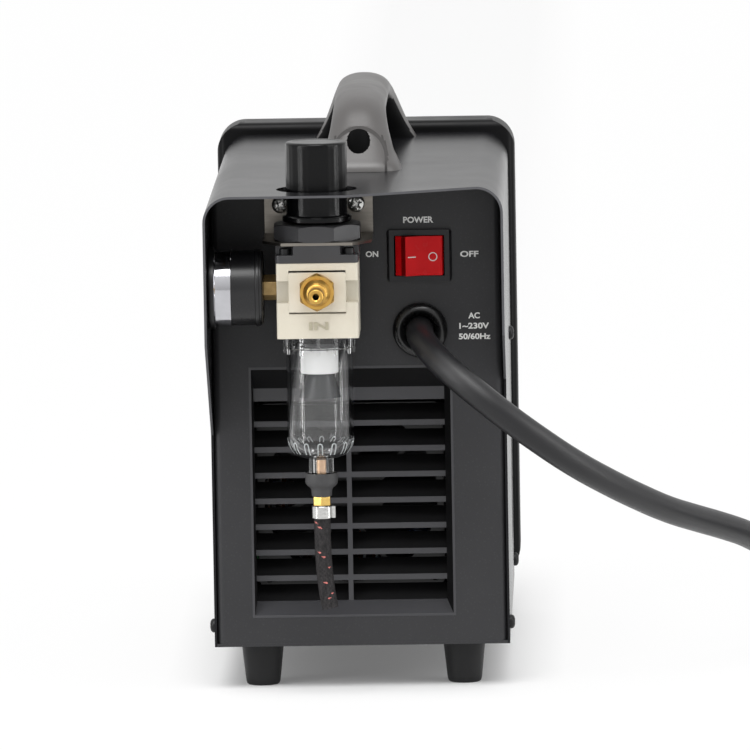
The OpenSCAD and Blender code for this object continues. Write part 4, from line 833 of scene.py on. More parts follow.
    @staticmethod
    def patch(piece: Piece, finish: Finish, test: Callable[[Vector, Vector], bool]) -> None:
        """Gives the faces that pass a test of their centre and normal a finish of their own."""
        piece.data.materials.append(finish.material())
        for face in piece.data.polygons:
            if test(face.center, face.normal):
                face.material_index = len(piece.data.materials) - 1

    @staticmethod
    def paint(node: str, finish: Finish) -> None:
        """Gives a CAD node that stays its finish."""
        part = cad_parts[node]
        if not part.data.materials:
            part.data.materials.append(finish.material())
        for row in part.material_slots:
            row.material = finish.material()
        log.info("%s keeps its CAD shape", node)

    @staticmethod
    def screw(head: Span, shank: Point, at: Vector, axis: Axis, spin: float) -> list[Piece]:
        """Makes a pan-head screw with a cross recess, sizes in mm.

        Args:
            head: Radius and height of its head.
            shank: Radius, straight length and whole length of its shank.
            at: Middle of the seat of its head.
            axis: Direction that its head points in.
            spin: Turn of its recess, in radians.

        Returns:
            Its head and its shank.
        """
        radius, height = head
        dome = Bench.turned(
            "head", [(radius * r, height * h) for r, h in PAN_DOME], Vector(), sides=Sides.SCREW
        )
        wide = radius * RECESS_WIDE * MM
        slot, low = wide * RECESS_SLOT, height * MM - height * RECESS_DEEP * MM
        for x, y in ((wide, slot), (slot, wide)):
            corner = Vector((x, y, height * MM * 1.5))
            Bench.cut(dome, Bench.block("recess", Vector((-x, -y, low)), corner))
        Bench.smooth(dome)
        Bench.settle(dome, at, axis, spin)
        thick, straight, whole = shank
        rod = [(0, 0), (thick, 0), (thick, straight), (thick - SCREW_TIP, whole), (0, whole)]
        return [dome, Bench.turned("shank", rod, at, axis.back, Sides.SCREW)]


# ---- Studio and camera ----------------------------------------------------------------------


@dataclass
class Viewpoint:
    """The camera: a long lens behind the unit, a little above it and to its right."""

    at_mm: Point = (132.23, -5602.8, 805.45)
    yaw: float = -0.0221
    pitch: float = 0.1154
    roll: float = 0.0169
    focal_px: float = 11448.0
    frame_px: float = 750.0
    sensor_mm: float = 36.0

    def build(self) -> None:
        """Creates the camera and makes it the scene's."""
        forward = Vector(
            (
                math.sin(self.yaw) * math.cos(self.pitch),
                math.cos(self.yaw) * math.cos(self.pitch),
                -math.sin(self.pitch),
            )
        )
        level = Vector((math.cos(self.yaw), -math.sin(self.yaw), 0))
        down = forward.cross(level)
        right = math.cos(self.roll) * level + math.sin(self.roll) * down
        low = -math.sin(self.roll) * level + math.cos(self.roll) * down
        data = bpy.data.cameras.new("rear_view")
        data.sensor_fit = "HORIZONTAL"
        data.sensor_width = self.sensor_mm
        data.lens = self.focal_px / self.frame_px * self.sensor_mm
        data.clip_end = 200.0
        camera = bpy.data.objects.new("rear_view", data)
        bpy.context.scene.collection.objects.link(camera)
        turn = Matrix((right, -low, -forward)).transposed().to_4x4()
        camera.matrix_world = Matrix.Translation(place(*self.at_mm)) @ turn
        bpy.context.scene.camera = camera


@dataclass(frozen=True)
class Lamp:
    """A soft rectangular lamp that is aimed at the middle of the unit."""

    name: str
    spot: Point
    size: Span
    watts: float

    AIM: ClassVar[Vector] = Vector((0, 0, 0.14))

    def hang(self) -> None:
        """Hangs the lamp where the camera doesn't see it."""
        lamp = bpy.data.lights.new(self.name, "AREA")
        lamp.shape = "RECTANGLE"
        lamp.size, lamp.size_y = self.size
        lamp.energy = self.watts
        holder = bpy.data.objects.new(self.name, lamp)
        spot = Vector(self.spot)
        aim = (self.AIM - spot).to_track_quat("-Z", "Y").to_matrix().to_4x4()
        holder.matrix_world = Matrix.Translation(spot) @ aim
        holder.visible_camera = False
        bpy.context.scene.collection.objects.link(holder)


SOFT_BOX: Span = (0.9, 1.4)
STRIP_LIGHT: Span = (0.035, 0.5)


@dataclass
class Studio:
    """White floor, even white room, a broad top light and soft lamps at the sides."""

    floor_m: float = 40.0
    floor_near: float = 0.12
    floor_far: float = 0.9
    fade_aside: Span = (0.06, 0.1)
    fade_behind: Span = (-0.12, -0.17)
    room_level: float = 0.62
    room_light: float = 0.5
    room_top: float = 0.6
    top_level: float = 1.85
    top_wide_deg: float = 40.0
    top_lean_deg: Span = (27.0, -3.0)
    lamps: Sequence[Lamp] = (
        Lamp("left_box", (-1.5, -1.3, 1.0), SOFT_BOX, 10.0),
        Lamp("right_box", (1.6, -0.9, 0.9), SOFT_BOX, 8.0),
        Lamp("left_strip", (-0.5, -0.4, 0.22), STRIP_LIGHT, 0.6),
        Lamp("right_strip", (0.52, -0.2, 0.22), STRIP_LIGHT, 0.6),
    )

    def build(self) -> None:
        """Lays the floor, lights the room and hangs the lamps."""
        bpy.context.scene.view_settings.view_transform = "Standard"
        self.floor()
        self.room()
        self.top()
        for lamp in self.lamps:
            lamp.hang()

    def floor(self) -> None:
        """Lays a wide white floor."""
        bpy.ops.object.select_all(action="DESELECT")
        bpy.ops.mesh.primitive_plane_add(size=self.floor_m, location=(0, 0, 0))
        floor = bpy.context.object
        floor.name = "studio_floor"
        paint = bpy.data.materials.new("white floor paint")
        paint.use_nodes = True
        tree = paint.node_tree
        shader = tree.nodes["Principled BSDF"]
        look = {"Base Color": linear("#f6f6f6"), "Roughness": 0.6, "Specular IOR Level": 0.1}
        feed(tree, shader, look)
        self.fade(tree, shader)
        floor.data.materials.append(paint)

    def fade(self, tree: Tree, shader: bpy.types.Node) -> None:
        """Mixes a white glow into the floor, faint near the unit and strong away from it: painted
        light that thins the floor's shadow out away from the unit.

        Args:
            tree: Node tree of the floor's paint.
            shader: Its main shader.
        """
        axes = add_node(tree, "SeparateXYZ", at_0=add_node(tree, "TexCoord")["Object"])
        aside, shares = reckon(tree, "ABSOLUTE", axes["X"]), (self.floor_near, self.floor_far)
        share = reckon(
            tree,
            "MAXIMUM",
            ramp(tree, aside, self.fade_aside, shares),
            ramp(tree, axes["Y"], self.fade_behind, shares),
        )
        rays = add_node(tree, "LightPath")
        seen = reckon(tree, "MAXIMUM", rays["Is Camera Ray"], rays["Is Glossy Ray"])
        seen = reckon(tree, "MAXIMUM", seen, rays["Is Transmission Ray"])
        # Painted light: the floor glows white for camera, gloss and glass rays, more the further it
        # lies from the unit
        glow = add_node(tree, "Emission", Color=WHITE, Strength=1.0)[0]
        amount = reckon(tree, "MULTIPLY", share, seen)
        mixed = add_node(tree, "MixShader", at_0=amount, at_1=shader.outputs[0], at_2=glow)[0]
        feed(tree, tree.nodes["Material Output"], {"Surface": mixed})

    def room(self) -> None:
        """Makes the world white to the eye and through glass, softer in gloss and as a light."""
        world = bpy.data.worlds.new("white room")
        bpy.context.scene.world = world
        world.use_nodes = True
        tree = world.node_tree
        tree.nodes.clear()
        rays = add_node(tree, "LightPath")
        height = add_node(tree, "SeparateXYZ", at_0=add_node(tree, "TexCoord")["Generated"])["Z"]
        walls = ramp(tree, height, (0.0, self.room_top), (self.room_level, 1.0))
        level = reckon(tree, "MULTIPLY", rays["Is Glossy Ray"], walls)
        for other in (rays["Is Camera Ray"], rays["Is Transmission Ray"], self.room_light):
            level = reckon(tree, "MAXIMUM", level, other)
        light = add_node(tree, "Background", Color=WHITE, Strength=level)[0]
        add_node(tree, "OutputWorld", Surface=light)

    def top(self) -> None:
        """Hangs the broad light over the unit."""
        lamp = bpy.data.lights.new("top_light", "SUN")
        lamp.energy = self.top_level
        lamp.angle = math.radians(self.top_wide_deg)
        holder = bpy.data.objects.new("top_light", lamp)
        holder.rotation_euler = (*map(math.radians, self.top_lean_deg), 0)
        bpy.context.scene.collection.objects.link(holder)


# ---- Mains cord -----------------------------------------------------------------------------


@dataclass
class MainsCord:
    """Neoprene mains cord: out of its bushing, down to the floor and into a stored coil."""

    diameter: float = 13.5
    bushing: Point = (31.0, 0.0, 178.0)
    route: Sequence[Point] = (
        (31, 0, 178), (31, -13.5, 178), (32, -27.5, 177), (36, -42, 173), (44.5, -55.5, 165.5),
        (57.5, -65, 155.3), (73, -68.5, 143), (89.5, -65, 130.2), (105.5, -54.5, 117.9),
        (121.5, -38, 106.5), (137, -18, 96), (152, 4, 86.5), (166, 27, 79), (179.5, 49.5, 72),
        (192, 72, 64.5), (203, 95, 55), (213.5, 119, 43.5), (222.5, 142, 31.5),
        (229.5, 163, 20.5), (235, 185, 12),
    )
    coil_centre: Span = (330.0, 200.0)
    coil_radius: float = 74.0
    turns: float = 3.5
    start: float = 160.0
    step: float = 14.4
    low_z: float = 8.05
    layer: float = 14.1
    per_turn: int = 24

    def coil_point(self, t: float) -> Vector:
        """Returns the cord's middle at turn t of the coil, in mm."""
        half = self.turns / 2
        inward = t if t < half else self.turns - t
        radius = self.coil_radius + (half / 2 - inward) * self.step
        climb = min(max((t - half + 0.25) * 2, 0.0), 1.0)
        angle = math.radians(self.start - 360 * t)
        x, y = self.coil_centre
        z = self.low_z + self.layer * climb
        return Vector((x + radius * math.cos(angle), y + radius * math.sin(angle), z))

    def line(self) -> list[Vector]:
        """Returns the whole middle line of the cord in mm, up to the plug."""
        start = math.radians(self.start)
        inwards = Vector((math.sin(start), -math.cos(start), 0))
        count = int(self.turns * self.per_turn)
        coil = [self.coil_point(i / self.per_turn) for i in range(count + 1)]
        end = math.radians(self.start - 360 * self.turns)
        outwards = Vector((math.sin(end), -math.cos(end), 0))
        lead = [coil[0] - 2 * self.diameter * inwards, coil[0] - self.diameter * inwards]
        tail = [coil[-1] + s * self.diameter * outwards for s in (1, 2)]
        return [Vector(p) for p in self.route] + lead + coil + tail

    def build(self) -> None:
        """Lays the cord with its plug and its tie."""
        points = [place(*p) for p in self.line()]
        curve = bpy.data.curves.new("mains_cord", "CURVE")
        curve.dimensions = "3D"
        curve.bevel_depth = self.diameter / 2 * MM
        curve.bevel_resolution = 6
        curve.resolution_u = 3
        curve.use_fill_caps = True
        spline = curve.splines.new("BEZIER")
        spline.bezier_points.add(len(points) - 1)
        for knot, spot in zip(spline.bezier_points, points):
            knot.co = spot
            knot.handle_left_type = knot.handle_right_type = "AUTO"
        cord = bpy.data.objects.new("mains_cord", curve)
        bpy.context.scene.collection.objects.link(cord)
        Bench.fit(cord, NEOPRENE, "case", "power_cord", "cord_coil")
        plug = Bench.dressed("power_plug", BLACK_RUBBER, 0.7)
        tie = Bench.dressed("cord_tie", STRAP_WEAVE, 0.25)


@dataclass
class CordBushing:
    """Snap-in bushing: rounded collar with a flared mouth that the cord comes out of."""

    at: Point = (31.0, 0.0, 178.0)
    radius: float = 13.5
    proud: float = 5.0
    mouth: float = 9.3
    bore: float = 6.9

    def build(self) -> None:
        """Turns the bushing."""
        r, h, m = self.radius, self.proud, self.mouth
        profile = [(self.bore, 0.3), (self.bore + 0.2, h - 3.4), (m - 1.0, h - 1.4), (m, h - 0.35)]
        profile += [(m + 0.9, h), (r - 2.4, h - 0.15), (r - 0.9, h - 1.0), (r - 0.2, h - 2.2)]
        profile += [(r, h - 3.4), (r, 0.35), (r - 0.3, 0), (10.3, 0)]
        profile += [(10.3, -8), (8, -24), (7.6, -24), (9.2, -8), (9.2, -0.4)]
        at = place(*self.at)
        piece = Bench.turned("cord_bushing_finished", profile, at, Axis.REAR, closed=True)
        Bench.fit(piece, BUSHING_NYLON, "case", "cord_bushing")


# ---- Case -----------------------------------------------------------------------------------


@dataclass
class Casing:
    """Folded cover with its hood, rear panel, base, bezel, feet and screws."""

    foot_x: float = 50.0
    foot_y: Sequence[float] = (22.0, 233.0)
    foot_h: float = 21.5
    foot_low: float = 8.45
    foot_top: float = 10.85
    screw_rows: Sequence[Span] = ((10.0, 31.0), (170.0, 156.8), (245.0, 31.0))
    half_w: float = 73.0

    def build(self) -> None:
        """Dresses the sheet parts and adds feet and screws."""
        self.cover()
        Bench.dress(
            ("rear_panel", PANEL_COAT, 0.3),
            ("base_plate", PANEL_COAT, 0.25),
            ("front_bezel", BEZEL_ABS, 0.5, 50),
            ("front_panel", PANEL_COAT, 0.25),
            ("cross_brace", ZINC_PLATE, 0.3),
        )
        self.feet()
        self.screws()

    def cover(self) -> None:
        """Dresses the cover, with a thinner coat and a painted highlight on the hood's cut edge."""
        cover = Bench.dressed("cover", POWDER_COAT, 0.28, 30)
        # The hood's rear-facing cut edge gets a lighter finish: thin coat plus painted highlight
        Bench.patch(
            cover, SHEET_EDGE_HIGHLIGHT, lambda at, normal: at.y < PANEL_Y - 0.5 * MM and normal.y < -0.5
        )

    def feet(self) -> None:
        """Turns a tapered foot with a shallow groove and copies it to each corner."""
        low, top, h = self.foot_low, self.foot_top, self.foot_h
        profile = [(2.0, h), (2.0, 17), (4.5, 16.5), (4.5, 0.6), (5.1, 0), (low - 1.1, 0)]
        profile += [(low - 0.4, 0.5), (low, 1.6), (low + 0.25, 3.4), (top - 0.5, h - 2.4)]
        profile += [(top - 0.15, h - 1.9), (top, h - 0.5), (top, h)]
        first = Bench.turned("foot", profile, Vector(), closed=True)
        for side, word in ((-1, "left"), (1, "right")):
            for y, end in zip(self.foot_y, ("rear", "front")):
                foot = Bench.copy(first)
                foot.name = f"foot_{end}_{word}_finished"
                Bench.settle(foot, place(side * self.foot_x, y, 0))
                Bench.fit(foot, BLACK_RUBBER, "case", f"foot_{end}_{word}")
        bpy.data.objects.remove(first)

    def screws(self) -> None:
        """Drives the black side screws."""
        heads = []
        for side, axis in ((-1, Axis.LEFT), (1, Axis.RIGHT)):
            for n, (y, z) in enumerate(self.screw_rows):
                at = place(side * self.half_w, y, z)
                heads += Bench.screw((3.5, 2.5), (1.9, 5.0, 5.7), at, axis, 0.4 + n)
        Bench.fit(Bench.join("cover_screws_finished", heads), BLACK_STEEL, "case", "cover_screws")


@dataclass
class CarryHandle:
    """Lofted carry handle: a screw pocket in each foot, an arch raised round the rear one."""

    x: float = 0.8
    rear: float = 51.0
    front: float = 251.0
    top: float = 251.5
    high: float = 37.0
    grip_w: float = 26.0
    grip_t: float = 17.0
    rear_w: float = 42.0
    front_w: float = 51.0
    sides: int = 56
    steps: int = 6
    pocket_r: float = 5.75
    pocket_low: float = 4.5
    pocket_in: Span = (10.0, 11.0)
    arch_w: float = 13.0
    arch_h: float = 19.5
    arch_t: float = 2.2
    arch_grow: float = 1.13
    arch_sunk: float = 1.2
    arch_base: float = 0.32
    arch_start: float = 0.1
    arch_columns: int = 20
    arch_rows: int = 30

    def stations(self) -> list[Sequence[float]]:
        """Returns outer edge, inner edge, width and squareness of the section along the handle."""
        a, b, h, low = self.rear, self.front, self.high, self.high - self.grip_t
        w, fr, ff = self.grip_w, self.rear_w - self.grip_w, self.front_w - self.grip_w
        return [
            (a, 0, a + 38, 0, self.rear_w, 4), (a + 1.2, 3.2, a + 38.4, 5, w + fr * 0.76, 4),
            (a + 4.6, 6.8, a + 39.6, 9.5, w + fr * 0.52, 3.6),
            (a + 10.5, 12.8, a + 42, 13.5, w + fr * 0.36, 3.2),
            (a + 18.5, 21.2, a + 46, low - 3.4, w + fr * 0.18, 2.8),
            (a + 29, h - 6.6, a + 51.5, low - 1.4, w + fr * 0.05, 2.4),
            (a + 44, h - 1.7, a + 58, low - 0.4, w, 2.2), (a + 66, h - 0.3, a + 67, low, w, 2.1),
            ((a + b) / 2, h, (a + b) / 2, low, w, 2.1), (b - 57, h - 0.3, b - 58, low, w, 2.1),
            (b - 38, h - 2.5, b - 48, low - 1, w + ff * 0.05, 2.3),
            (b - 24, h - 8.6, b - 40, low - 4.2, w + ff * 0.2, 2.7),
            (b - 13, 19, b - 34, 10.5, w + ff * 0.42, 3.2),
            (b - 4.6, 9, b - 28.5, 5, w + ff * 0.68, 3.6), (b, 0, b - 25, 0, self.front_w, 4),
        ]

    def section(self, ring: list[float]) -> list[Vector]:
        """Returns the outline of the handle at one ring, in the frame."""
        y0, z0, y1, z1, width, power = ring
        outline = []
        for k in range(self.sides):
            angle = 2 * math.pi * k / self.sides
            c, s = math.cos(angle), math.sin(angle)
            x = width / 2 * math.copysign(abs(c) ** (2 / power), c)
            n = 0.5 * math.copysign(abs(s) ** (2 / power), s)
            y, z = (y0 + y1) / 2 + n * (y0 - y1), self.top + (z0 + z1) / 2 + n * (z0 - z1)
            outline.append(place(self.x + x, y, z))
        return outline

    def loft(self) -> Piece:
        """Skins the sections into a closed handle."""
        rings = through(self.stations(), self.steps)
        points = [p for ring in rings for p in self.section(ring)]
        n, m = self.sides, len(rings)
        faces = Tube.walls(m, n, inwards=True)
        faces += [tuple(range(n)), tuple(reversed(range((m - 1) * n, m * n)))]
        handle = Bench.new("handle_finished", points, [], faces)
        Bench.close(handle, weld=False)
        return handle

    def arch_reach(self, z: float) -> float:
        """Returns half the arch's width at a height over the cover, in mm."""
        base = self.arch_h * self.arch_base
        share = (max(z - base, 0) / (self.arch_h - base)) ** 2
        return self.arch_w * math.sqrt(max(1 - share, 0))

    def on_rim(self, spot: Vector) -> bool:
        """Tells whether a spot lies on the slope round the arch."""
        x, z = abs(spot.x / MM - self.x), spot.z / MM - self.top
        grow = self.arch_grow
        inside = z < self.arch_h * 0.99 and x < self.arch_reach(z) - 0.1
        around = z < self.arch_h * grow and x < self.arch_reach(z / grow) * grow - 0.1
        return around and not inside and spot.y < place(0, self.rear + 25, 0).y

    def arch(self, handle: Piece) -> None:
        """Raises the arch round the rear pocket, following the face under it.

        Args:
            handle: The lofted handle, which the arch is joined to.
        """
        columns, rows, low = self.arch_columns, self.arch_rows, self.arch_start
        skins: tuple[list[Vector], list[Vector]] = ([], [])
        for i in range(rows + 1):
            z = low + (self.arch_h - 0.12) * math.sin(math.pi / 2 * i / rows)
            for k in range(columns + 1):
                x = self.arch_reach(z) * (2 * k / columns - 1)
                for spots, grow, lift in zip(
                    skins, (1.0, self.arch_grow), (-self.arch_t, self.arch_sunk)
                ):
                    start = place(self.x + x * grow, self.rear - 30, self.top + z * grow)
                    spots.append(handle.ray_cast(start, FORWARD)[1] + FORWARD * lift * MM)
        count, wide = len(skins[0]), columns + 1
        faces = []
        for i in range(rows):
            for a in range(i * wide, i * wide + columns):
                faces.append((a, a + 1, a + 1 + wide, a + wide))
                faces.append((count + a, count + a + wide, count + a + 1 + wide, count + a + 1))
        rim = list(range(wide)) + [i * wide + columns for i in range(1, rows + 1)]
        rim += [rows * wide + k for k in reversed(range(columns))]
        rim += [i * wide for i in reversed(range(1, rows))]
        for a, b in zip(rim, rim[1:] + rim[:1]):
            faces.append((a, count + a, count + b, b))
        arch = Bench.new("arch", skins[0] + skins[1], [], faces)
        Bench.close(arch)
        Bench.cut(handle, arch, "UNION")

    def build(self) -> None:
        """Lofts the handle, sinks its pockets and drives its screws."""
        handle = self.loft()
        self.arch(handle)
        spots = (self.rear + self.pocket_in[0], self.front - self.pocket_in[1])
        seats = [place(self.x, y, self.top + self.pocket_low) for y in spots]
        for at in seats:
            pocket = [(0, 0), (self.pocket_r, 0), (self.pocket_r, 60), (0, 60)]
            Bench.cut(handle, Bench.turned("pocket", pocket, at, sides=Sides.SMALL))
            bore = [(0, -8), (2.2, -8), (2.2, 1), (0, 1)]
            Bench.cut(handle, Bench.turned("bore", bore, at, sides=Sides.SCREW))
        Bench.bevel(handle, 0.35, 50)
        Bench.smooth(handle)
        Bench.fit(handle, HANDLE_NYLON, "case", "handle")
        middle = place(0, (self.rear + self.front) / 2, 0).y
        Bench.patch(
            handle, HANDLE_GROOVE,
            lambda spot, normal: self.on_rim(spot) and abs(normal.y) < 0.6,
        )
        # Painted shade: the inside of the handle's front leg and the walls of both screw pockets
        # get near-black ABS
        Bench.patch(
            handle, SHADE_ABS,
            lambda spot, normal: (spot.y > middle and normal.y < -0.3)
            or any((spot.xy - at.xy).length < (self.pocket_r + 0.1) * MM for at in seats),
        )
        heads = []
        for at in seats:
            heads += Bench.screw((4.4, 3.1), (2, 9.9, 10.7), at, Axis.UP, 0.5)
        Bench.fit(Bench.join("handle_screws_finished", heads), NICKEL, "case", "handle_screws")


# ---- Regulator ------------------------------------------------------------------------------


@dataclass
class AirRegulator:
    """Square regulator under the hood: knob, nut, bonnet, body and its brass fittings."""

    x: float = -18.0
    y: float = -31.0
    port_z: float = 203.4
    shelf_z: float = 225.5
    knob_z: float = 236.0
    knob_top: float = 275.0
    width: float = 40.0
    plate: float = 1.0
    corner: float = 15.6
    groove_r: float = 15.0
    groove_gap: int = 4

    def build(self) -> None:
        """Builds the regulator from its knob down to its body."""
        self.knob()
        Bench.dress(
            ("ring_nut", MOULDED_ABS, 0.35),
            ("regulator_bonnet", MOULDED_ABS, 0.4),
            ("regulator_body", CAST_ENAMEL, 0.35),
            ("regulator_bracket", ZINC_PLATE, 0.25),
            ("outlet_fitting", BRASS_REAR, 0.3),
        )
        Bench.paint("adjust_spindle", ZINC_PLATE)
        self.bonnet_screws()
        self.bracket_screws()
        self.nipple()
        # The raised IN mark gets a darker beige: painted shade round its letters
        mark = Lettering.fitted("IN", (-22.2, -12.8), (184.2, 188.0), -51.0, 0.35)
        Bench.fit(mark, CAST_MARK_SHADE, "case", slot="cast_beige")

    def knob(self) -> None:
        """Turns the knob and presses its ribs in."""
        h = self.knob_top - self.knob_z
        profile = [(0, 25.5), (4.05, 25.5), (4.05, 25), (12.5, 25), (12.5, 0.3), (12.8, 0)]
        profile += [(16.6, 0), (17, 0.35), (17, 2.2), (16.7, 2.6), (15.2, 3.2), (15, 3.7)]
        profile += [(15, 7.6), (15, h - 3.6), (15, h - 1.4), (14.8, h - 0.75), (14.3, h - 0.3)]
        profile += [(13.4, h - 0.06), (12.2, h - 0.05), (11.6, h - 0.25), (0, h - 0.25)]
        at = place(self.x, self.y, self.knob_z)
        knob = Bench.turned("pressure_knob_finished", profile, at, sides=Sides.FINE)
        with Bench.edit(knob):
            for n in range(0, Sides.FINE.value, self.groove_gap):
                angle = 2 * math.pi * n / Sides.FINE.value
                spot = at + Vector((math.cos(angle), math.sin(angle), 0)) * self.groove_r * MM

                def in_groove(p: Vector) -> bool:
                    """Tells whether a vertex lies in this groove."""
                    near = (p.xy - spot.xy).length < 0.3 * MM
                    return near and at.z + 7 * MM < p.z < at.z + (h - 3) * MM

                Bench.pick(knob, in_groove)
                bpy.ops.transform.resize(value=(0.99, 0.99, 1), center_override=at)
        Bench.smooth(knob, 40)
        Bench.fit(knob, POLISHED_ABS, "pressure_knob", "pressure_knob")

    def bonnet_screws(self) -> None:
        """Sets a socket screw in each corner pocket of the bonnet."""
        heads = []
        ring = [(1.3, 0.8), (1.3, 2.9), (1.6, 3.2), (2.4, 3.2), (2.7, 2.9), (2.7, 0)]
        ring += [(0, 0), (0, 0.8)]
        apart = self.corner
        for x, y in ((-apart, -apart), (-apart, apart), (apart, -apart), (apart, apart)):
            at = place(self.x + x, self.y + y, self.shelf_z - 4.5)
            heads.append(Bench.turned("bonnet_screw", ring, at, sides=Sides.SCREW, closed=True))
        Bench.fit(Bench.join("bonnet_screws", heads), BLACK_STEEL, "case", slot="black_screw")

    def bracket_screws(self) -> None:
        """Drives the two bright screws of the bracket."""
        heads = []
        for side in (-1, 1):
            at = place(self.x + side * 18.7, -1.5, self.shelf_z + 15.6)
            heads += Bench.screw((4.3, 2.6), (1.9, 5.2, 6), at, Axis.REAR, 0.55 * side)
        Bench.fit(Bench.join("bracket_screws_finished", heads), NICKEL, "case", "bracket_screws")

    def nipple(self) -> None:
        """Turns the brass inlet nipple and seats its hexagon."""
        at = place(self.x, self.y - self.width / 2 - self.plate, self.port_z)
        blank = Bench.prism("hexagon", 16.5, 7, at, Axis.REAR, edge=0.25)
        cone = [(0, -1), (7.6, -1), (8.3, 0), (9.4, 5.2), (8.15, 7), (0, 7)]
        Bench.cut(blank, Bench.turned("cone", cone, at, Axis.REAR), "INTERSECT")
        profile = [(1.6, -8), (5.45, -8), (5.45, 0.1), (6.6, 6.9), (6.75, 7.6), (5.3, 9.9)]
        profile += [(4.8, 10.4), (4.8, 13.6), (4.4, 14), (3.1, 14.3), (3.1, 17.7), (3.9, 18.2)]
        profile += [(4, 18.6), (4, 25.9), (3.7, 26.6), (3.2, 27), (2.1, 27), (1.6, 26.6)]
        nose = Bench.turned("nose", profile, at, Axis.REAR, closed=True)
        piece = Bench.join("inlet_nipple_finished", [blank, nose])
        Bench.smooth(piece)
        Bench.fit(piece, BRASS_REAR, "case", "inlet_nipple")
        # Painted shade: the faces inside the nipple's bore are darkened
        Bench.patch(piece, BORE_SHADE, lambda spot, _: (spot - at).xz.length < 1.75 * MM)


@dataclass
class PressureGauge:
    """Gauge on the regulator's side port, its face towards the open left side."""

    y: float = -31.0
    z: float = 203.4
    face_x: float = -71.8
    rim_r: float = 20.0
    ring_r: float = 19.0
    ring_end: float = 11.3
    drum_r: float = 18.4
    depth: float = 27.0
    start_deg: float = -135.0
    sweep_deg: float = 270.0
    dial_in: float = 4.2
    ticks: int = 50
    ticks_per_word: int = 10
    tick_r: float = 17.2
    word_r: float = 12.4

    def build(self) -> None:
        """Builds the case, dial, lens and needle."""
        at = place(self.face_x, self.y, self.z)
        r, d = self.rim_r, self.depth
        drum, ring, end = self.drum_r, self.ring_r, self.ring_end
        profile = [(0, d), (16.4, d), (17.4, d - 0.2), (18.2, d - 0.7), (drum, d - 1.2)]
        profile += [(drum, d - 1.7), (19, d - 1.9), (19.1, d - 2.3), (19.1, d - 3.2)]
        profile += [(18.9, d - 3.6), (drum, d - 3.8), (drum, end + 0.3)]
        profile += [(ring - 0.15, end + 0.2), (ring, end), (ring, 3.7), (19.3, 3.4), (19.8, 3.2)]
        profile += [(r, 2.8), (r, 1.0), (19.7, 0.4), (19.2, 0), (18.9, 0.1), (18.5, 0.6)]
        profile += [(18.45, 4.6), (14.9, 4.9), (14.9, d - 5), (0, d - 5)]
        case = Bench.turned("gauge_case_finished", profile, at, Axis.RIGHT)
        Bench.fit(case, GAUGE_STEEL, "case", "gauge_case")
        Bench.patch(
            case, CHROME,
            lambda spot, _: at.x + 3.1 * MM < spot.x < at.x + (end + 0.1) * MM
            and (spot - at).yz.length > 18.6 * MM,
        )
        Bench.dressed("gauge_port", DULL_BRASS, 0.3)
        Bench.paint("gauge_dial", PRINTED_DIAL)
        Bench.dressed("gauge_lens", ACRYLIC, 0.25)
        Bench.dressed("gauge_needle", BLACK_STEEL, 0.08, body="gauge_needle")
        self.scale()

    def scale(self) -> None:
        """Prints ticks and generic numbers on the dial."""
        marks = []
        top = self.face_x + self.dial_in
        for n in range(self.ticks + 1):
            major = n % self.ticks_per_word == 0
            angle = math.radians(self.start_deg + self.sweep_deg * n / self.ticks)
            reach, wide = (2.6, 0.32) if major else (1.3, 0.14)
            low = Vector((-0.04, -wide, self.tick_r - reach)) * MM
            tick = Bench.block("tick", low, Vector((0.02, wide, self.tick_r)) * MM)
            Bench.put(tick, place(top, self.y, self.z), Matrix.Rotation(angle, 4, "X"))
            marks.append(tick)
            if major:
                y, z = -self.word_r * math.sin(angle), self.word_r * math.cos(angle)
                at = place(top, self.y + y, self.z + z)
                marks.append(Lettering.word(str(n // 5), 2.6, at, Axis.LEFT, 0.04))
        Bench.fit(Bench.join("gauge_scale", marks), BLACK_INK, "case", slot="gauge_face")


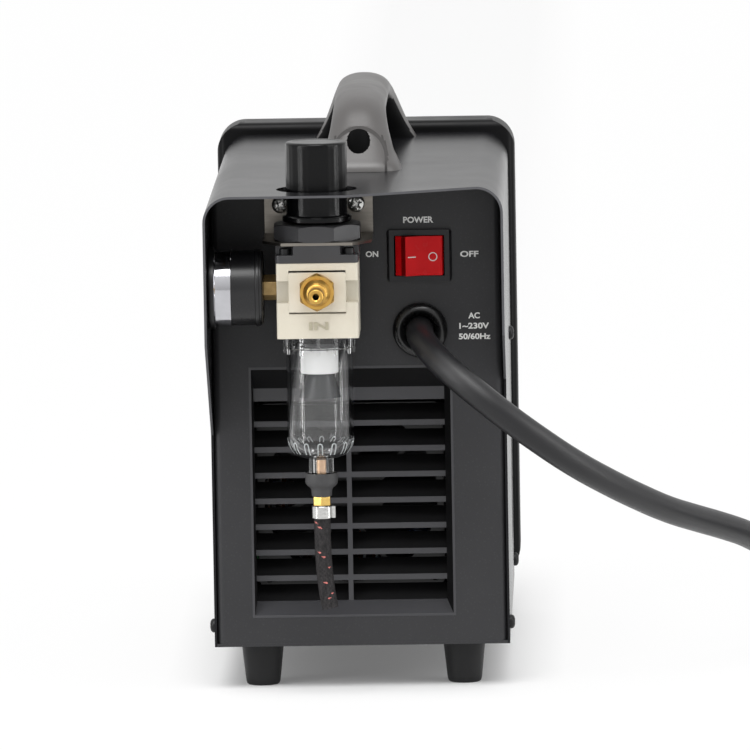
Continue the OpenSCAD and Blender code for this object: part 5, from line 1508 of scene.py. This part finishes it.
@dataclass
class FilterBowl:
    """Clear bowl under the regulator, with the element that hangs in it."""

    x: float = -18.0
    y: float = -31.0
    top: float = 180.0
    low: float = 119.4
    radius: float = 16.4
    wall: float = 2.0
    round_r: float = 9.0
    neck_r: float = 6.0
    neck_low: float = 110.0
    ribs: int = 12
    hoops: int = 14
    hoop_steps: int = 12
    hoop_leg: float = 0.36
    hoop_half: float = 1.05
    hoop_high: float = 4.6
    hoop_r: float = 0.32
    foot_curve: float = 6.0
    foot_drop: float = 2.2

    def arc(self, inset: float, count: int = 9) -> list[Span]:
        """Returns the rounded lower corner of the bowl's section, drawn in by inset, from below."""
        r, cx = self.round_r, self.radius - inset - self.round_r
        return [
            (cx + r * math.sin(a), self.low + inset + r - r * math.cos(a))
            for a in (math.pi / 2 * i / count for i in range(count + 1))
        ]

    def build(self) -> None:
        """Builds the bowl, the ribs in it, and the element."""
        at = place(self.x, self.y, 0)
        collar = self.radius + 0.8
        outer = [(3.5, self.neck_low), (5.6, self.neck_low), (self.neck_r, self.neck_low + 0.4)]
        outer += [(self.neck_r, self.low - 0.8), (6.7, self.low)] + self.arc(0)
        outer += [(self.radius, self.top - 6.6), (collar - 0.2, self.top - 6)]
        outer += [(collar, self.top - 5.7), (collar, self.top - 0.3), (collar - 0.3, self.top)]
        inner = [(self.radius - self.wall, self.top)] + list(reversed(self.arc(self.wall)))
        inner += [(3.5, self.low + self.wall)]
        bowl = Bench.turned(
            "filter_bowl_finished", outer + inner, at, Axis.UP, Sides.FINE, closed=True, angle=50
        )
        Bench.fit(bowl, POLYCARBONATE, "case", "filter_bowl")
        self.grips()
        self.foot_marks()
        self.element()

    def grips(self) -> None:
        """Sets the clear grip ribs round the collar."""
        ribs = []
        for n in range(self.ribs):
            rib = Bench.block(
                "grip",
                Vector((self.radius + 0.05, -0.8, self.top - 9)) * MM,
                Vector((self.radius + 1.2, 0.8, self.top - 0.1)) * MM,
                0.25,
            )
            turn = Matrix.Rotation(2 * math.pi * n / self.ribs, 4, "Z")
            Bench.put(rib, place(self.x, self.y, 0), turn)
            ribs.append(rib)
        Bench.fit(Bench.join("bowl_grips", ribs), POLYCARBONATE, "case", slot="clear_lens")

    def foot_marks(self) -> None:
        """Moulds the small arched ribs round the bowl's foot."""
        hoops = []
        r, leg, half, high = self.radius - 0.9, self.hoop_leg, self.hoop_half, self.hoop_high
        path = []
        for t in (k / self.hoop_steps for k in range(self.hoop_steps + 1)):
            if t < leg:
                u, v = -half, high * t / leg
            elif t > 1 - leg:
                u, v = half, high * (1 - t) / leg
            else:
                a = math.pi * (1 - (t - leg) / (1 - 2 * leg))
                u, v = half * math.cos(a), high + half * math.sin(a)
            drop = max(0.0, 1 - v / self.foot_curve) ** 2 * self.foot_drop
            path.append(Vector((r - drop, u, v)) * MM)
        for n in range(self.hoops):
            hoop = Tube.along("hoop", path, self.hoop_r * MM, 8)
            turn = Matrix.Rotation(2 * math.pi * n / self.hoops - math.pi / 2, 4, "Z")
            Bench.put(hoop, place(self.x, self.y, self.low + 2.6), turn)
            hoops.append(hoop)
        Bench.fit(Bench.join("bowl_foot_ribs", hoops), FROSTED, "case", slot="filter_white")

    def element(self) -> None:
        """Turns the white element with its two notches, and dresses the parts round it."""
        low, top, r = self.top - 18.8, self.top - 5.8, 9.25
        profile = [(4, low), (r - 0.4, low), (r, low + 0.4)]
        profile += [(r, top - 0.4), (r - 0.4, top), (4, top)]
        at = place(self.x, self.y, 0)
        piece = Bench.turned("filter_element_finished", profile, at, closed=True)
        for x in (-3.6, 3.9):
            low_corner = place(self.x + x - 0.5, self.y - r - 1, top - 2)
            high_corner = place(self.x + x + 0.5, self.y - r + 2, top + 1)
            Bench.cut(piece, Bench.block("notch", low_corner, high_corner))
        Bench.smooth(piece)
        Bench.fit(piece, SINTERED_WHITE, "case", "filter_element")
        Bench.dressed("filter_baffle", GREY_ACETAL, 0.25)


class Tube:
    """Mesh tubes and strands that follow a path."""

    @staticmethod
    def frames(path: Sequence[Vector]) -> list[tuple[Vector, Vector]]:
        """Returns two cross directions at each point of a path, without twist."""
        ways = []
        for i in range(len(path)):
            ways.append((path[min(i + 1, len(path) - 1)] - path[max(i - 1, 0)]).normalized())
        side = ways[0].orthogonal().normalized()
        result = []
        for way in ways:
            side = (side - way * side.dot(way)).normalized()
            result.append((side.copy(), way.cross(side)))
        return result

    @staticmethod
    def rings(
        path: Sequence[Vector], rows: Sequence[tuple[Vector, Vector]], radius: float, sides: int
    ) -> list[Vector]:
        """Returns the points of a ring at each point of a path, sizes in metres."""
        angles = [2 * math.pi * k / sides for k in range(sides)]
        return [
            spot + radius * (math.cos(a) * u + math.sin(a) * v)
            for spot, (u, v) in zip(path, rows)
            for a in angles
        ]

    @staticmethod
    def walls(
        rings: int, sides: int, first: int = 0, inwards: bool = False
    ) -> list[tuple[int, ...]]:
        """Returns the faces between rings of points that follow each other.

        Args:
            rings: How many rings there are.
            sides: Points in each ring.
            first: Number of the first ring's first point.
            inwards: Whether the faces look to the middle.

        Returns:
            The faces, ring after ring.
        """
        faces: list[tuple[int, ...]] = []
        for ring in range(first, first + (rings - 1) * sides, sides):
            for k in range(sides):
                a, b = ring + k, ring + (k + 1) % sides
                over = (b + sides, b) if inwards else (b + sides, a + sides)
                faces.append((a, a + sides if inwards else b, *over))
        return faces

    @staticmethod
    def rod(name: str, points: Sequence[Vector], sides: int) -> Piece:
        """Skins rings of points into a closed rod."""
        faces = Tube.walls(len(points) // sides, sides)
        faces += [tuple(reversed(range(sides))), tuple(range(len(points) - sides, len(points)))]
        return Tube.finish(Bench.new(name, points, [], faces))

    @staticmethod
    def finish(piece: Piece) -> Piece:
        """Turns a tube's faces outwards and shades it smooth."""
        Bench.close(piece, weld=False)
        Bench.smooth(piece, 60, weighted=False)
        return piece

    @staticmethod
    def along(name: str, path: Sequence[Vector], radius: float, sides: int) -> Piece:
        """Makes a closed round rod along a path, sizes in metres."""
        return Tube.rod(name, Tube.rings(path, Tube.frames(path), radius, sides), sides)


@dataclass
class DrainLine:
    """Drain valve under the bowl: cup, nut, ear clamp and braided hose, which move together."""

    x: float = -18.0
    y: float = -31.0
    neck_z: float = 110.0
    hex_z: float = 100.0
    hose_z: float = 95.5
    hose_r: float = 4.2
    bore_r: float = 2.5
    strands: int = 12
    braid_lead: float = 26.0
    tracer_run: float = 3.6
    yarn_share: float = 0.4
    yarn_high: float = 0.24
    yarn_low: float = 0.2
    yarn_in: float = 0.44
    weave: float = 0.16
    sides: int = 24
    route: Sequence[Point] = (
        (0, 0, 0), (0, 0, -9), (0.1, 0, -18), (0.4, 0, -27), (1, 0, -35.5), (1.9, 0, -43.3),
        (3.2, 0, -50.8),
    )
    body: str = "drain_valve"

    def build(self) -> None:
        """Builds the drain from the cup down to the hose's end."""
        self.cup()
        Bench.paint("drain_stem", PALE_COPPER)
        self.nut()
        self.clamp()
        self.hose()

    def cup(self) -> None:
        """Turns the black cup with its tapered spout."""
        top = self.neck_z + 1.7
        profile = [(2.5, self.hex_z), (4.6, self.hex_z), (4.95, self.hex_z + 0.5), (5.2, 103.2)]
        profile += [(5.6, 104.2), (6.9, 105.2), (7.7, 106.2), (8, 107.3), (8, top - 0.6)]
        profile += [(7.7, top - 0.1), (7.3, top), (6.6, top - 0.1), (6.4, top - 0.6)]
        profile += [(6.4, 107.1), (2.5, 107.1)]
        at = place(self.x, self.y, 0)
        cup = Bench.turned("drain_cup_finished", profile, at, closed=True)
        Bench.fit(cup, CUP_NYLON, self.body, "drain_cup")

    def nut(self) -> None:
        """Makes the brass nut with its barb."""
        at = place(self.x, self.y, self.hose_z)
        nut = Bench.prism("drain_nipple_finished", 8.2, 4.5, at, Axis.UP, edge=0.35)
        barb = [(0, -8), (1.7, -8), (2.1, -7), (1.8, -5), (2.1, -4), (2.1, 0.5), (0, 0.5)]
        stub = [(0, 4), (2.45, 4), (2.45, 6.5), (0, 6.5)]
        pieces = [nut, Bench.turned("barb", barb, at), Bench.turned("stub", stub, at)]
        piece = Bench.join("drain_nipple_finished", pieces)
        Bench.fit(piece, BRASS_UPRIGHT, self.body, "drain_nipple")

    def clamp(self) -> None:
        """Makes the bright ear clamp: a band, a pinched ear and its slots."""
        at = place(self.x, self.y, self.hose_z - 6.2)
        inner, outer = self.hose_r + 0.15, self.hose_r + 0.95
        edge = outer - 0.15
        ring = [(inner, 0.1), (edge, 0), (outer, 0.2), (outer, 5.8), (edge, 6), (inner, 5.9)]
        parts = [Bench.turned("ear_clamp_finished", ring, at, closed=True)]
        for low, high, width, hole_low, hole_high in (
            ((outer - 0.4, -1.8, 0), (outer + 1.55, 1.8, 6), 0.45,
             (outer - 0.2, -0.9, -1), (outer + 0.9, 0.9, 7)),
            ((-0.6, -outer - 0.28, 1.4), (3.1, -outer + 0.5, 4.6), 0.2,
             (1.3, -outer - 1, 2.3), (2.5, -outer + 0.35, 3.7)),
        ):
            a, b, c, d = (at + Vector(corner) * MM for corner in (low, high, hole_low, hole_high))
            part = Bench.block("ear", a, b, width)
            Bench.cut(part, Bench.block("hole", c, d))
            Bench.smooth(part)
            parts.append(part)
        piece = Bench.join("ear_clamp_finished", parts)
        Bench.fit(piece, BRIGHT_STEEL, self.body, "ear_clamp")

    def path(self, steps: int) -> list[Vector]:
        """Returns the hose's middle line, smoothly divided, in the frame."""
        base = place(self.x, self.y, self.hose_z)
        return [base + Vector(spot) * MM for spot in through(self.route, steps)]

    def hose(self) -> None:
        """Builds the rubber tube and the yarns that are braided over it."""
        path = self.path(8)
        rows = Tube.frames(path)
        sides, half = self.sides, len(path) * self.sides
        points = Tube.rings(path, rows, (self.hose_r - 0.75) * MM, sides)
        points += Tube.rings(path, rows, self.bore_r * MM, sides)
        faces = Tube.walls(len(path), sides) + Tube.walls(len(path), sides, half, inwards=True)
        last = half - sides
        for k in range(sides):
            b = (k + 1) % sides
            faces.append((k, half + k, half + b, b))
            faces.append((last + k, last + b, half + last + b, half + last + k))
        hose = Tube.finish(Bench.new("drain_hose_finished", points, [], faces))
        hose.data.materials.append(BLACK_RUBBER.material())
        yarns = [self.yarn(path, rows, n, way) for way in (1, -1) for n in range(self.strands)]
        hose = Bench.join("drain_hose_finished", [hose] + yarns)
        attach(hose, self.body)
        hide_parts("drain_hose")

    def yarn(
        self, path: list[Vector], rows: list[tuple[Vector, Vector]], n: int, way: int
    ) -> Piece:
        """Makes one flat yarn of the braid.

        Args:
            path: Middle line of the hose.
            rows: Cross directions along it.
            n: Number of the yarn.
            way: 1 for a right-hand helix, -1 for a left-hand one.

        Returns:
            The yarn, with its tracer stretches in the second material.
        """
        twist = 2 * math.pi / (self.braid_lead * MM)
        wide = 2 * math.pi * self.hose_r / self.strands * self.yarn_share * MM
        high, low = self.yarn_high * MM, -self.yarn_low * MM
        outline = ((-wide, 0.0), (-wide / 2, high), (wide / 2, high), (wide, 0.0), (0.0, low))
        sides = len(outline)
        traced, stretch = (1, 0) if way > 0 else (4, 2)
        points, tracer, run = [], [], 0.0
        for i, (spot, (u, v)) in enumerate(zip(path, rows)):
            run += (spot - path[i - 1]).length if i else 0.0
            angle = 2 * math.pi * n / self.strands + way * twist * run
            wave = math.cos(self.strands * twist * run)
            radius = (self.hose_r - self.yarn_in + way * self.weave * wave) * MM
            out = math.cos(angle) * u + math.sin(angle) * v
            across = -math.sin(angle) * u + math.cos(angle) * v
            points += [spot + out * (radius + b) + across * a for a, b in outline]
            shown = int(run / MM / self.tracer_run) % 4 == stretch
            tracer.append(way * wave > 0.3 and n % 6 == traced and shown)
        yarn = Tube.rod("yarn", points, sides)
        yarn.data.materials.append(BLACK_YARN.material())
        yarn.data.materials.append(RED_YARN.material())
        for face in yarn.data.polygons[: (len(path) - 1) * sides]:
            face.material_index = int(tracer[face.index // sides])
        return yarn


# ---- Switch, grille and lettering -----------------------------------------------------------


class Lettering:
    """Printed words and marks, as thin raised ink."""

    FONT_OVER_CAPITALS = 1.38
    PANEL_BOLD = 0.042
    WORDS = (
        ("POWER", (23.5, 38.3), (230.9, 234.0)),
        ("OFF", (51.3, 60.3), (213.7, 216.7)),
        ("ON", (4.8, 11.0), (214.3, 217.2)),
        ("AC", (54.8, 60.5), (183.2, 186.2)),
        ("1~230V", (50.3, 65.0), (178.1, 181.1)),
        ("50/60Hz", (50.0, 65.6), (172.9, 175.9)),
    )

    @staticmethod
    def word(
        text: str, height: float, at: Vector, axis: Axis, thick: float = 0.05, bold: float = 0.0
    ) -> Piece:
        """Makes a word as a flat mesh, centred on a spot and facing along an axis.

        Args:
            text: The word.
            height: Height of its capitals in mm.
            at: Its middle, on the printed surface.
            axis: Direction that it faces.
            thick: Thickness of the ink in mm.
            bold: How far its strokes are thickened, as a share of the height.

        Returns:
            The word, in place.
        """
        bpy.ops.object.select_all(action="DESELECT")
        bpy.ops.object.text_add(location=(0, 0, 0))
        piece = bpy.context.object
        piece.data.body = text
        piece.data.align_x = "CENTER"
        piece.data.align_y = "CENTER"
        piece.data.size = height * MM * Lettering.FONT_OVER_CAPITALS
        piece.data.extrude = thick * MM
        piece.data.offset = bold * height * MM
        piece.data.resolution_u = 4
        bpy.ops.object.convert(target="MESH")
        piece = bpy.context.object
        Bench.close(piece)
        around = {Axis.REAR: 0.0, Axis.FRONT: math.pi, Axis.LEFT: -math.pi / 2}[axis]
        upright = Matrix.Rotation(math.pi / 2, 4, "X")
        Bench.put(piece, at, Matrix.Rotation(around, 4, "Z") @ upright)
        return piece

    @staticmethod
    def fitted(text: str, across: Span, up: Span, y: float = 0.0, thick: float = 0.05) -> Piece:
        """Makes a word that faces back, fills a box of millimetres and lies on a face at y."""
        bold = Lettering.PANEL_BOLD
        piece = Lettering.word(text, up[1] - up[0], Vector(), Axis.REAR, thick, bold)
        xs = [v.co.x for v in piece.data.vertices]
        zs = [v.co.z for v in piece.data.vertices]
        sx = (across[1] - across[0]) * MM / (max(xs) - min(xs))
        sz = (up[1] - up[0]) * MM / (max(zs) - min(zs))
        middle = Vector(((max(xs) + min(xs)) / 2, 0, (max(zs) + min(zs)) / 2))
        target = place(sum(across) / 2, y, sum(up) / 2)
        scale = Matrix.Diagonal((sx, 1, sz, 1))
        piece.data.transform(Matrix.Translation(target) @ scale @ Matrix.Translation(-middle))
        return piece

    def build(self) -> None:
        """Prints the switch's words and the supply's generic rating."""
        words = [self.fitted(*row) for row in self.WORDS]
        Bench.fit(Bench.join("panel_lettering", words), WHITE_INK, "case", slot="lamp_clear")


@dataclass
class PowerSwitch:
    """Rocker switch in its bezel, with its two marks."""

    x: float = 31.2
    z: float = 214.9
    bar_x: float = -3.6
    ring_x: float = 6.7
    flank: float = 2.6
    end_w: float = 3.2
    lip: float = 2.0

    def build(self) -> None:
        """Dresses the switch and marks the rocker."""
        Bench.dressed("switch_housing", SWITCH_NYLON, 0.3)
        rocker = self.rocker()
        marks = []
        for shift in (self.bar_x, self.ring_x):
            start = place(self.x + shift, -30, self.z - 0.5)
            spot, normal = rocker.ray_cast(start, FORWARD)[1:3]
            lean = Matrix.Rotation(math.atan2(normal.x, -normal.y), 4, "Z")
            if shift < 0:
                low, high = Vector((-2.1, -0.06, -0.25)), Vector((2.1, 0.04, 0.25))
                mark = Bench.block("bar", low * MM, high * MM)
            else:
                ring = [(1.75, -0.06), (2.2, -0.06), (2.2, 0.04), (1.75, 0.04)]
                mark = Bench.turned("ring", ring, Vector(), Axis.REAR, Sides.SMALL, closed=True)
            Bench.put(mark, spot, lean)
            marks.append(mark)
        Bench.fit(Bench.join("rocker_marks", marks), WHITE_INK, "power_rocker", slot="rocker_red")

    def rocker(self) -> Piece:
        """Dresses the rocker and slopes the flank of its raised end, which is painted a darker red
        as shade.

        Returns:
            The finished rocker.
        """
        rocker = Bench.dressed("power_rocker", RED_ROCKER, 0.5, body="power_rocker", segments=3)
        left = min(v.co.x for v in rocker.data.vertices)
        face = PANEL_Y - self.lip * MM
        for vertex in rocker.data.vertices:
            if vertex.co.x < left + self.end_w * MM and vertex.co.y < face:
                vertex.co.x += self.flank * MM
        rocker.data.update()
        # Painted shade: faces of the raised end that turn to the left get the darker red
        Bench.patch(rocker, RED_FLANK_SHADE, lambda spot, normal: normal.x < -0.35 and spot.y < face)
        return rocker


@dataclass
class RearGrille:
    """Vent grille with louvres, and the fan behind it."""

    plate_y: float = 8.0

    def build(self) -> None:
        """Dresses the grille and the fan."""
        grille = Bench.dressed("rear_grille", GRILLE_ABS, 0.2)
        plate = PANEL_Y + self.plate_y * MM
        # Painted shade: blades behind the plate, and the funnel's roof and side walls in front of
        # it, get near-black ABS
        Bench.patch(
            grille, SHADE_ABS,
            lambda at, normal: at.y > plate + 0.6 * MM
            or (at.y < plate and (normal.z < -0.3 or abs(normal.x) > 0.7)),
        )
        Bench.dressed("fan_frame", FAN_PLASTIC, 0.4)
        Bench.dressed("fan_rotor", FAN_PLASTIC, 0.3, body="fan_rotor")


@dataclass
class FrontControls:
    """Hidden front: current knob with its scale, display, lamps, button and sockets."""

    dial_z: float = 149.5
    face_y: float = 275.0
    start_deg: float = -135.0
    step_deg: float = 27.0
    tick_r: float = 19.5
    word_r: float = 26.5

    def build(self) -> None:
        """Dresses the controls and prints the knob's scale."""
        Bench.dress(
            ("current_knob", POLISHED_ABS, 0.3, EDGE_DEG, "current_knob"),
            ("display_window", SMOKED_WINDOW, 0.3),
            ("status_lamps", LAMP_LENS, 0.2),
            ("mode_button", HANDLE_NYLON, 0.3, EDGE_DEG, "mode_button"),
            ("torch_connector", BRASS_REAR, 0.3),
            ("trigger_socket", NICKEL, 0.25),
            ("work_socket", MOULDED_ABS, 0.4),
        )
        marks = []
        for n in range(11):
            angle = math.radians(self.start_deg + self.step_deg * n)
            major = n % 5 == 0
            end = self.tick_r + (3.2 if major else 2.0)
            low, high = Vector((-0.25, -0.04, self.tick_r)), Vector((0.25, 0.05, end))
            tick = Bench.block("tick", low * MM, high * MM)
            Bench.put(tick, place(0, self.face_y, self.dial_z), Matrix.Rotation(-angle, 4, "Y"))
            marks.append(tick)
            if major:
                x, z = -self.word_r * math.sin(angle), self.word_r * math.cos(angle)
                spot = place(x, self.face_y, self.dial_z + z)
                marks.append(Lettering.word(str(20 + 2 * n), 3.0, spot, Axis.FRONT, 0.05))
        Bench.fit(Bench.join("dial_scale", marks), WHITE_INK, "case", slot="lamp_clear")
        # Dust screen behind the front slots; its near-black foam is painted shade that hides the
        # floor seen through the case
        screen = Bench.block("dust_and_shade_screen", place(-46, 271.6, 93), place(46, 272.9, 126), 0.2)
        Bench.fit(screen, SHADE_FOAM, "case", slot="fan_plastic")


@dataclass
class Internals:
    """What the vents let be seen: board, heatsink, transformer, capacitors, valve and tube."""

    def build(self) -> None:
        """Dresses the inner parts."""
        Bench.dress(
            ("power_board", BOARD, 0.1),
            ("heatsink", EXTRUDED, 0.2),
            ("transformer", WOUND_COPPER, 0.6),
            ("capacitors", BLUE_SLEEVE, 0.5),
            ("solenoid_valve", MOULDED_ABS, 0.4),
            ("air_tube", BLUE_TUBE, 0.0),
        )


def main() -> None:
    """Builds the scene in order."""
    logging.basicConfig(level=logging.INFO, format="%(name)s: %(message)s")
    for group in (
        Viewpoint(), MainsCord(), CordBushing(), Casing(), CarryHandle(), AirRegulator(),
        PressureGauge(), FilterBowl(), DrainLine(), PowerSwitch(), RearGrille(), Lettering(),
        FrontControls(), Internals(), Studio(),
    ):
        log.info("building %s", type(group).__name__)
        group.build()


if __name__ == "__main__":
    main()
